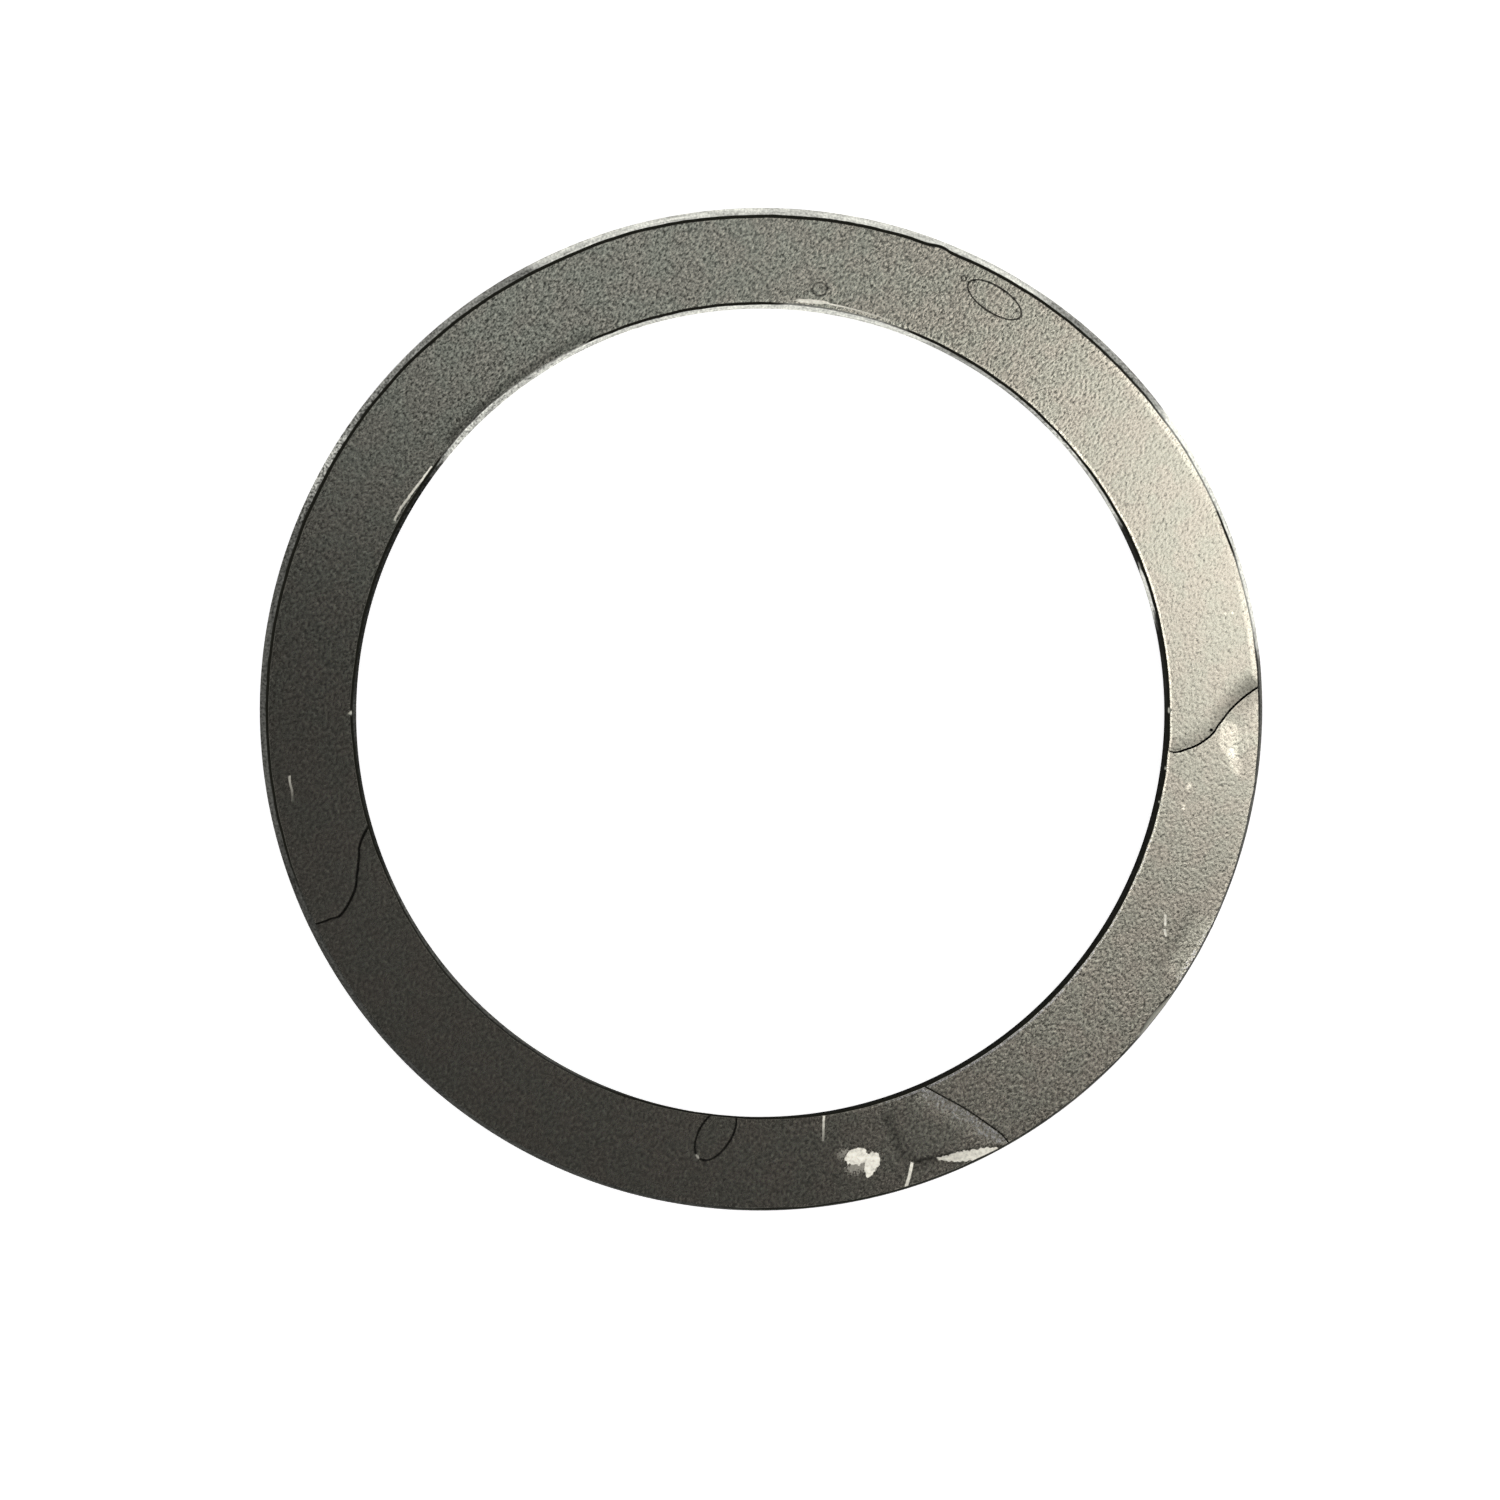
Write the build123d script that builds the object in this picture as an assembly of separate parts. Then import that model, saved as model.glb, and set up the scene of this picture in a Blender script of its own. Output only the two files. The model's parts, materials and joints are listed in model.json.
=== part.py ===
"""Shim ring: a flat steel ring that was blanked and pierced in one stroke of a compound die.

Both cuts start at the lower face. Each wall of the section therefore has, from the bottom up, a
rolled-over edge, a short burnished land at the cutting size, and a fracture that leans back to a
slightly narrower upper face, whose corners are broken by tumbling.

The frame's origin is the centre of the bore on the lower face, and +Z is the ring's axis.
"""

import os

from build123d import *

# Driving dimensions, in millimetres
BORE_DIAMETER = 50.0
RING_WIDTH = 6.0  # from the bore to the rim
THICKNESS = 2.0

# The sheared edge, the same at the bore and at the rim
ROLL_RADIUS = 0.2  # rolled-over edge at the lower face
LAND_HEIGHT = 0.5  # burnished land, which has the cutting size
FRACTURE_LEAN = 0.29  # how far the fracture leans back over its height
CORNER_BREAK = 0.1  # radius left on the upper corners by tumbling

# Dependent dimensions
BORE_RADIUS = BORE_DIAMETER / 2
OUTSIDE_RADIUS = BORE_RADIUS + RING_WIDTH
LAND_TOP = ROLL_RADIUS + LAND_HEIGHT


def ring_section() -> Sketch:
    """The section of the wall, drawn in the XZ plane from the lower face up."""
    bore_foot = (BORE_RADIUS + ROLL_RADIUS, 0)
    rim_foot = (OUTSIDE_RADIUS - ROLL_RADIUS, 0)
    rim_land_foot = (OUTSIDE_RADIUS, ROLL_RADIUS)
    rim_land_top = (OUTSIDE_RADIUS, LAND_TOP)
    rim_corner = (OUTSIDE_RADIUS - FRACTURE_LEAN, THICKNESS)
    bore_corner = (BORE_RADIUS + FRACTURE_LEAN, THICKNESS)
    bore_land_top = (BORE_RADIUS, LAND_TOP)
    bore_land_foot = (BORE_RADIUS, ROLL_RADIUS)

    with BuildSketch(Plane.XZ) as section:
        with BuildLine():
            Line(bore_foot, rim_foot)
            RadiusArc(rim_foot, rim_land_foot, -ROLL_RADIUS)
            Polyline(rim_land_foot, rim_land_top, rim_corner, bore_corner, bore_land_top, bore_land_foot)
            RadiusArc(bore_land_foot, bore_foot, -ROLL_RADIUS)
        make_face()
        upper_corners = section.vertices().group_by(Axis.Z)[-1]
        fillet(upper_corners, radius=CORNER_BREAK)
    return section.sketch


def shim_ring() -> Part:
    """The whole ring, its section revolved about the bore's axis."""
    with BuildPart() as ring:
        add(ring_section())
        revolve(axis=Axis.Z)
    return ring.part


os.makedirs("parts", exist_ok=True)
export_step(shim_ring(), "parts/shim_ring.step")
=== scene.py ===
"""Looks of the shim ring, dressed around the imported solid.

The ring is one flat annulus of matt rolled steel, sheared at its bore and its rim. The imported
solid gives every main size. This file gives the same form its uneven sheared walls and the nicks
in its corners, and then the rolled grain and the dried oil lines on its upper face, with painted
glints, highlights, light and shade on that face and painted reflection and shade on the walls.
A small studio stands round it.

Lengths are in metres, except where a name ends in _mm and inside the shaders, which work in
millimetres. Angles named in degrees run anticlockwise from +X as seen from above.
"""
import json
import logging
import math
from dataclasses import dataclass
from enum import Enum
from functools import partial, reduce
from typing import Sequence, Union

import bpy
import numpy as np
from mathutils import Matrix, Vector


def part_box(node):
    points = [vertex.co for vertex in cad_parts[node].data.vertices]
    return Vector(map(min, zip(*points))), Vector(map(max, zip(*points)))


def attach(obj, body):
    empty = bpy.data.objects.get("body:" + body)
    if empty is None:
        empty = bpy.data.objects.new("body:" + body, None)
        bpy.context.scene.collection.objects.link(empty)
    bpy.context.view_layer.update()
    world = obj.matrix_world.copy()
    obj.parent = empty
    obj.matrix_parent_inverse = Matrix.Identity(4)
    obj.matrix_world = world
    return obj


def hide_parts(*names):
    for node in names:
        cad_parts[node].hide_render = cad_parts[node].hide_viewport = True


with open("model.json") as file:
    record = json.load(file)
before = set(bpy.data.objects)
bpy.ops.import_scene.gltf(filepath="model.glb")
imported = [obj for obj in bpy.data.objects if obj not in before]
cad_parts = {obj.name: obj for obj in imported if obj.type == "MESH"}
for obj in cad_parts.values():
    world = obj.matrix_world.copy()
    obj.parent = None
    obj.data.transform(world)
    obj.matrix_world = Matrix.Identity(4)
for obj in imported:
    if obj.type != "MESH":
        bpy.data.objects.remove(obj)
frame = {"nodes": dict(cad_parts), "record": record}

LOG = logging.getLogger("shim_ring_scene")

MM = 0.001
# How far off a face a point may lie and still count as on it
LEVEL = 0.001 * MM

NODE = "shim_ring"
BODY = "root"

Colour = tuple[float, float, float]
Point = tuple[float, float]
Pair = tuple[float, float]
Stops = tuple[Pair, ...]
Socket = bpy.types.NodeSocket
Value = Union[Socket, float]

ORIGIN = (0.0, 0.0, 0.0)


class Edge(Enum):
    """The two sheared edges of the ring."""

    BORE = "bore"
    RIM = "rim"


class Skin(Enum):
    """The kinds of surface on the ring, in the order of its material slots."""

    UPPER_FACE = 0
    SHEARED_WALL = 1
    LOWER_FACE = 2


# -------------------- Form --------------------


@dataclass(frozen=True)
class RingSizes:
    """The ring's sizes in metres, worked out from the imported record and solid.

    Attributes:
        bore: the bore's radius at its land.
        rim: the rim's radius at its land.
        thickness: the ring's thickness.
        roll: the radius of the rolled-over lower edges.
        land_top: how high the lands reach.
        lean: how far each fracture leans back.
        corner_break: the radius of the upper corners.
    """

    bore: float
    rim: float
    thickness: float
    roll: float
    land_top: float
    lean: float
    corner_break: float = 0.1 * MM

    @classmethod
    def from_frame(cls) -> "RingSizes":
        """Reads the sizes off the mounts and the solid's upper face.

        Returns:
            The sizes, with the lean taken from how far the flat face stops short of the rim.
        """
        low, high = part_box(NODE)
        mounts = {mount["name"]: mount for mount in frame["record"]["mounts"]}
        bore = mounts["bore"]["dims"]["r_mm"] * MM
        rim = mounts["rim"]["dims"]["r_mm"] * MM
        land = mounts["rim"]["dims"]["length_mm"] * MM
        land_middle = mounts["rim"]["pos_m"][2]
        thickness = high[2] - low[2]

        mesh = frame["nodes"][NODE].data
        points = np.empty(len(mesh.vertices) * 3, np.float32)
        mesh.vertices.foreach_get("co", points)
        points = points.reshape(-1, 3)
        on_face = points[:, 2] > high[2] - LEVEL
        face_rim = float(np.hypot(points[on_face, 0], points[on_face, 1]).max())

        # The corner's arc starts one tangent length inside the sharp corner. That length depends
        # a little on the lean, so a few passes settle it.
        settling_passes = 4
        lean = rim - face_rim
        for _ in range(settling_passes):
            turn = math.pi / 2 - math.atan2(lean, thickness - land_middle - land / 2)
            lean = rim - face_rim - cls.corner_break * math.tan(turn / 2)
        return cls(
            bore=bore,
            rim=rim,
            thickness=thickness,
            roll=land_middle - land / 2,
            land_top=land_middle + land / 2,
            lean=lean,
        )


@dataclass(frozen=True)
class EdgeFlaw:
    """A short stretch of an edge where the upper corner is out of line or nicked.

    Attributes:
        edge: the edge that it is on.
        at: the middle of the stretch, in degrees.
        span: the length of the stretch, in degrees.
        shift_mm: how far the whole corner moves into the face, negative where it moves the
            other way.
        nick_mm: how far a sloping facet reaches from the corner into the face.
    """

    edge: Edge
    at: float
    span: float
    shift_mm: float = 0.0
    nick_mm: float = 0.0


FLAWS = (
    # The rim, from +X round
    EdgeFlaw(Edge.RIM, 45.0, 30.0, shift_mm=0.05),
    EdgeFlaw(Edge.RIM, 69.0, 3.4, shift_mm=-0.13),
    EdgeFlaw(Edge.RIM, 104.0, 26.0, shift_mm=-0.07),
    EdgeFlaw(Edge.RIM, 138.0, 60.0, shift_mm=-0.11),
    EdgeFlaw(Edge.RIM, 205.0, 70.0, shift_mm=0.04),
    EdgeFlaw(Edge.RIM, 322.1, 8.2, nick_mm=0.22),
    EdgeFlaw(Edge.RIM, 336.0, 60.0, shift_mm=-0.07),
    # The bore, from +X round
    EdgeFlaw(Edge.BORE, 0.0, 1.1, nick_mm=0.16),
    EdgeFlaw(Edge.BORE, 6.0, 40.0, shift_mm=-0.05),
    EdgeFlaw(Edge.BORE, 45.0, 80.0, shift_mm=-0.09),
    EdgeFlaw(Edge.BORE, 134.0, 26.0, shift_mm=0.15),
    EdgeFlaw(Edge.BORE, 180.0, 12.0, shift_mm=0.08),
    EdgeFlaw(Edge.BORE, 180.2, 0.8, nick_mm=0.16),
    EdgeFlaw(Edge.BORE, 223.0, 46.0, shift_mm=0.08),
    EdgeFlaw(Edge.BORE, 264.0, 46.0, shift_mm=-0.15),
    EdgeFlaw(Edge.BORE, 347.0, 0.6, nick_mm=0.10),
    EdgeFlaw(Edge.BORE, 351.8, 0.7, nick_mm=0.10),
)


@dataclass(frozen=True)
class Shear:
    """How one edge was sheared where the tools were a little out of line. Lengths are in mm.

    Attributes:
        wider_mm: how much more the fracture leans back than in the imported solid.
        swing_mm: how much more again on one side of the ring, and less on the other.
        towards: the direction of the side where it leans most, in degrees.
        aside_mm: how far the cut lies off the axis.
        seed: the seed of the wall's unevenness.
    """

    wider_mm: float
    swing_mm: float
    towards: float
    aside_mm: Point
    seed: int


SHEARS = {
    Edge.RIM: Shear(wider_mm=0.068, swing_mm=0.17, towards=114, aside_mm=(0.0, 0.0), seed=11),
    Edge.BORE: Shear(wider_mm=-0.115, swing_mm=0.155, towards=103, aside_mm=(-0.05, -0.22), seed=23),
}


@dataclass(frozen=True)
class WallRows:
    """The points of one sheared wall, a row for each angle, from its foot up to the face.

    Attributes:
        radius: how far each point lies from the axis.
        height: how high each point lies above the lower face.
        corner: the column of the upper corner's crest.
        nick: how far each row is nicked, in mm.
    """

    radius: np.ndarray
    height: np.ndarray
    corner: int
    nick: np.ndarray


@dataclass(frozen=True)
class ShearedWall:
    """One sheared wall of the ring, as a profile that changes slowly round the ring.

    Attributes:
        sizes: the ring's sizes.
        edge: which wall this is.
        roll_cells: how many cells cross the rolled-over edge.
        land_cells: how many cells cross the land.
        fracture_cells: how many cells cross the fracture.
        corner_cells: how many cells cross the upper corner.
        crest_cell: how many of those lie below the corner's crest.
        unevenness: how far the upper corner wanders in and out.
        uneven_waves: the numbers of waves round the ring in which it wanders.
        break_swing: how much the corner's radius varies.
        break_waves: the numbers of waves in which it varies.
        tear: how rough the torn fracture is.
        tear_waves: the numbers of waves in each layer of the tear.
        nick_slope: how steeply a nick's facet falls towards the wall.
    """

    sizes: RingSizes
    edge: Edge
    roll_cells: int = 5
    land_cells: int = 2
    fracture_cells: int = 8
    corner_cells: int = 7
    crest_cell: int = 3
    unevenness: float = 0.012 * MM
    uneven_waves: range = range(7, 90, 3)
    break_swing: float = 0.16
    break_waves: range = range(5, 70, 4)
    tear: float = 0.014 * MM
    tear_waves: tuple[range, ...] = tuple(range(first, 260, 17) for first in (31, 42, 53, 64))
    nick_slope: float = 0.6

    def ripple(self, turn: np.ndarray, waves: Sequence[int], channel: int) -> np.ndarray:
        """Works out a closed uneven line round the ring.

        It is the sum of cosines with whole numbers of waves and random phases, over the square
        root of their number.

        Args:
            turn: angles in radians.
            waves: the numbers of waves round the ring.
            channel: picks one of the wall's independent lines.

        Returns:
            One value for each angle.
        """
        random = np.random.default_rng((SHEARS[self.edge].seed, channel))
        phases = random.uniform(0, 2 * math.pi, len(waves))
        counts = np.asarray(waves)[:, None]
        return np.cos(counts * turn[None, :] + phases[:, None]).sum(0) / math.sqrt(len(waves))

    def flawed(self, turn: np.ndarray) -> tuple[np.ndarray, np.ndarray]:
        """Adds up the flaws on this edge, each a raised cosine over its span.

        Args:
            turn: angles in radians.

        Returns:
            The corner's shift and the nicks' reach at each angle, in metres.
        """
        shift = np.zeros_like(turn)
        nick = np.zeros_like(turn)
        for flaw in FLAWS:
            if flaw.edge is not self.edge:
                continue
            away = (np.degrees(turn) - flaw.at + 180) % 360 - 180
            near = np.clip(away / (flaw.span / 2), -1, 1)
            share = (1 + np.cos(math.pi * near)) / 2
            shift += flaw.shift_mm * MM * share
            nick += flaw.nick_mm * MM * share
        return shift, nick

    def roll_and_land(self) -> tuple[np.ndarray, np.ndarray]:
        """Works out the foot of the wall, which is the same all round the ring.

        A quarter circle rolls over from the lower face, and the land rises straight from it.

        Returns:
            The points' depths and heights, in one row.
        """
        sizes = self.sizes
        across = np.linspace(0, math.pi / 2, self.roll_cells + 1)[None, :]
        up = np.linspace(0, 1, self.land_cells + 1)[None, 1:]
        land_height = sizes.roll + (sizes.land_top - sizes.roll) * up
        depth = np.concatenate([sizes.roll * (1 - np.sin(across)), 0 * up], 1)
        height = np.concatenate([sizes.roll * (1 - np.cos(across)), land_height], 1)
        return depth, height

    def slope_and_tangent(self, lean: np.ndarray, broken: np.ndarray) -> tuple[np.ndarray, np.ndarray]:
        """Works out how the corner's arc meets the fracture.

        Args:
            lean: how far the fracture leans back at each angle.
            broken: the radius of the corner's arc at each angle.

        Returns:
            The fracture's angle from upright, and the distance from the sharp corner to where the
            arc starts and ends.
        """
        slope = np.arctan2(lean, self.sizes.thickness - self.sizes.land_top)
        return slope, broken * np.tan((math.pi / 2 - slope) / 2)

    def fracture(
        self, turn: np.ndarray, lean: np.ndarray, broken: np.ndarray
    ) -> tuple[np.ndarray, np.ndarray]:
        """Works out the fracture, a straight line that leans back from the land to the corner's arc.

        Its surface is torn: each layer of the tear is an uneven line round the ring times a
        cosine up the wall, and their sum times a half sine up the fracture fades at both ends.

        Args:
            turn: angles in radians.
            lean: how far the fracture leans back at each angle.
            broken: the radius of the corner's arc at each angle.

        Returns:
            The points' depths and heights, a row for each angle.
        """
        rise = self.sizes.thickness - self.sizes.land_top
        _, tangent = self.slope_and_tangent(lean, broken)
        arc_share = 1 - tangent / np.hypot(lean, rise)
        up = np.linspace(0, 1, self.fracture_cells + 1)[None, 1:] * arc_share
        torn = np.zeros_like(up)
        for layer, waves in enumerate(self.tear_waves):
            wave = self.ripple(turn, waves, 2 + layer)
            torn += self.tear / 2 * wave[:, None] * np.cos((layer + 1) * math.pi * up + layer)
        return lean * up + torn * np.sin(math.pi * up), self.sizes.land_top + rise * up

    def corner(self, lean: np.ndarray, broken: np.ndarray) -> tuple[np.ndarray, np.ndarray]:
        """Works out the upper corner, an arc that meets both the fracture and the face.

        Args:
            lean: how far the fracture leans back at each angle.
            broken: the radius of the arc at each angle.

        Returns:
            The points' depths and heights, a row for each angle.
        """
        slope, tangent = self.slope_and_tangent(lean, broken)
        tilt = slope + (math.pi / 2 - slope) * np.linspace(0, 1, self.corner_cells + 1)[None, 1:]
        depth = lean + tangent - broken * np.cos(tilt)
        return depth, self.sizes.thickness - broken + broken * np.sin(tilt)

    def rows(self, turn: np.ndarray) -> WallRows:
        """Works out the wall from its foot on the lower face up to its corner on the upper face.

        Where the corner is nicked, the arc's upper half is drawn out into a sloping facet: its
        points move inwards by the nick's reach times their share of the way from the crest to the
        face, and the crest and the fracture sink to the facet's foot.

        Args:
            turn: angles in radians.

        Returns:
            The wall's points.
        """
        sizes, shear = self.sizes, SHEARS[self.edge]
        shift, nick = self.flawed(turn)
        swing = shear.swing_mm * np.cos(turn - math.radians(shear.towards))
        lean = sizes.lean + (shear.wider_mm + swing) * MM + shift
        lean = lean + self.unevenness * self.ripple(turn, self.uneven_waves, 0)
        broken = sizes.corner_break * (1 + self.break_swing * self.ripple(turn, self.break_waves, 1))
        lean, broken, nick = lean[:, None], broken[:, None], nick[:, None]
        foot_depth, foot_height = self.roll_and_land()
        fracture_depth, fracture_height = self.fracture(turn, lean, broken)
        corner_depth, corner_height = self.corner(lean, broken)

        above_crest = self.corner_cells - self.crest_cell
        past_crest = np.arange(1, self.corner_cells + 1) - self.crest_cell
        facet = np.clip(past_crest / above_crest, 0, 1)[None, :]
        drop = nick * self.nick_slope
        sunk = 1 - drop / (sizes.thickness - sizes.land_top)
        corner_depth = corner_depth + nick * facet
        corner_height = sizes.land_top + (corner_height - sizes.land_top) * sunk + drop * facet
        fracture_height = sizes.land_top + (fracture_height - sizes.land_top) * sunk

        def joined(parts: Sequence[np.ndarray]) -> np.ndarray:
            """Widens each part to a row for every angle and sets them side by side."""
            return np.concatenate([np.broadcast_to(p, (len(turn), p.shape[1])) for p in parts], 1)

        depth = joined((foot_depth, fracture_depth, corner_depth))
        height = joined((foot_height, fracture_height, corner_height))
        aside = (shear.aside_mm[0] * np.cos(turn) + shear.aside_mm[1] * np.sin(turn)) * MM
        if self.edge is Edge.RIM:
            radius = sizes.rim + aside[:, None] - depth
        else:
            radius = sizes.bore + aside[:, None] + depth
        return WallRows(radius, height, depth.shape[1] - 1 - above_crest, nick[:, 0] / MM)


@dataclass(frozen=True)
class Section:
    """The closed section of the ring at every angle, a row for each angle.

    Attributes:
        turn: the angles in radians.
        radius: each point's distance from the axis.
        height: each point's height above the lower face.
        edge_mm: the distance along the section from the nearest upper corner's crest, negative
            on the face's side of it.
        nick: how strongly a point belongs to a nick's facet, from 0 to 1.
        skin: the skin of the cell that starts at each column.
    """

    turn: np.ndarray
    radius: np.ndarray
    height: np.ndarray
    edge_mm: np.ndarray
    nick: np.ndarray
    skin: np.ndarray


@dataclass(frozen=True)
class ShimRing:
    """The ring: a closed section carried round its axis.

    Attributes:
        sizes: the ring's sizes.
        turns: how many sections there are round the ring.
        face_cells: how many cells cross each face.
        hold: the width of the narrow cell at each border of a face, which keeps the face flat.
        full_nick_mm: the reach at which a nick counts fully in the shaders.
    """

    sizes: RingSizes
    turns: int = 1440
    face_cells: int = 10
    hold: float = 0.02 * MM
    full_nick_mm: float = 0.08

    def face_steps(self, start: np.ndarray, end: np.ndarray) -> np.ndarray:
        """Spaces points across a face, with a narrow cell at each border.

        Args:
            start: radius of one border at each angle.
            end: radius of the other border at each angle.

        Returns:
            The radii strictly between the borders, a row for each angle.
        """
        sign = np.sign(end - start)[:, None]
        first = start[:, None] + sign * self.hold
        last = end[:, None] - sign * self.hold
        return first + (last - first) * np.linspace(0, 1, self.face_cells)[None, :]

    def section(self) -> Section:
        """Works out the section: lower face, rim wall up, upper face, bore wall down.

        Returns:
            The section at every angle.
        """
        sizes = self.sizes
        turn = np.linspace(0, 2 * math.pi, self.turns, endpoint=False)
        rim = ShearedWall(sizes, Edge.RIM).rows(turn)
        bore = ShearedWall(sizes, Edge.BORE).rows(turn)
        rim_radius = rim.radius
        bore_radius = bore.radius[:, ::-1]

        lower = self.face_steps(bore_radius[:, -1], rim_radius[:, 0])
        upper = self.face_steps(rim_radius[:, -1], bore_radius[:, 0])
        radius = np.concatenate([lower, rim_radius, upper, bore_radius], 1)
        flat = np.zeros_like(lower)
        height = np.concatenate([flat, rim.height, flat + sizes.thickness, bore.height[:, ::-1]], 1)

        steps = np.hypot(np.diff(radius, axis=1), np.diff(height, axis=1))
        run = np.concatenate([np.zeros((self.turns, 1)), np.cumsum(steps, 1)], 1)
        rim_border = lower.shape[1] + rim_radius.shape[1] - 1
        bore_border = rim_border + upper.shape[1] + 1
        rim_crest = lower.shape[1] + rim.corner
        bore_crest = bore_border + bore_radius.shape[1] - 1 - bore.corner
        edge_mm = np.maximum(run[:, rim_crest, None] - run, run - run[:, bore_crest, None]) / MM

        nick = np.zeros_like(radius)
        nick[:, rim_crest : rim_border + 1] = rim.nick[:, None]
        nick[:, bore_border : bore_crest + 1] = bore.nick[:, None]
        nick = np.clip(nick / self.full_nick_mm, 0, 1)

        skin = np.full(radius.shape[1], Skin.LOWER_FACE.value)
        skin[lower.shape[1] : rim_border] = Skin.SHEARED_WALL.value
        skin[rim_border:bore_border] = Skin.UPPER_FACE.value
        skin[bore_border:-1] = Skin.SHEARED_WALL.value
        return Section(turn, radius, height, edge_mm, nick, skin)

    def build(self) -> bpy.types.Object:
        """Puts the section's points into one closed mesh.

        Point (i, j) lies at (r cos t, r sin t, z) for angle i and section place j. Both
        directions close on themselves, so the mesh has no seam and no border.

        Returns:
            The ring's object, at the origin, with its place in its mesh.
        """
        section = self.section()
        rows, columns = section.radius.shape
        low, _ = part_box(NODE)
        cosine, sine = np.cos(section.turn)[:, None], np.sin(section.turn)[:, None]
        places = (section.radius * cosine, section.radius * sine, section.height + low[2])
        points = np.stack(places, 2).reshape(-1, 3)

        index = np.arange(rows * columns).reshape(rows, columns)
        onward = np.roll(index, -1, 0)
        corners = (index, onward, np.roll(onward, -1, 1), np.roll(index, -1, 1))
        quads = np.stack(corners, 2).reshape(-1, 4)

        mesh = bpy.data.meshes.new("steel_ring")
        mesh.vertices.add(len(points))
        mesh.vertices.foreach_set("co", points.astype(np.float32).ravel())
        mesh.loops.add(quads.size)
        mesh.loops.foreach_set("vertex_index", quads.astype(np.int32).ravel())
        mesh.polygons.add(len(quads))
        mesh.polygons.foreach_set("loop_start", np.arange(0, quads.size, 4, dtype=np.int32))
        mesh.polygons.foreach_set("material_index", np.tile(section.skin, rows).astype(np.int32))
        mesh.polygons.foreach_set("use_smooth", np.ones(len(quads), bool))
        mesh.update(calc_edges=True)
        mesh.validate()
        for name, values in (("edge_mm", section.edge_mm), ("nick", section.nick)):
            attribute = mesh.attributes.new(name, "FLOAT", "POINT")
            attribute.data.foreach_set("value", values.astype(np.float32).ravel())

        ring = bpy.data.objects.new("steel_ring", mesh)
        bpy.context.scene.collection.objects.link(ring)
        return ring


# -------------------- Shader wiring --------------------


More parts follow.
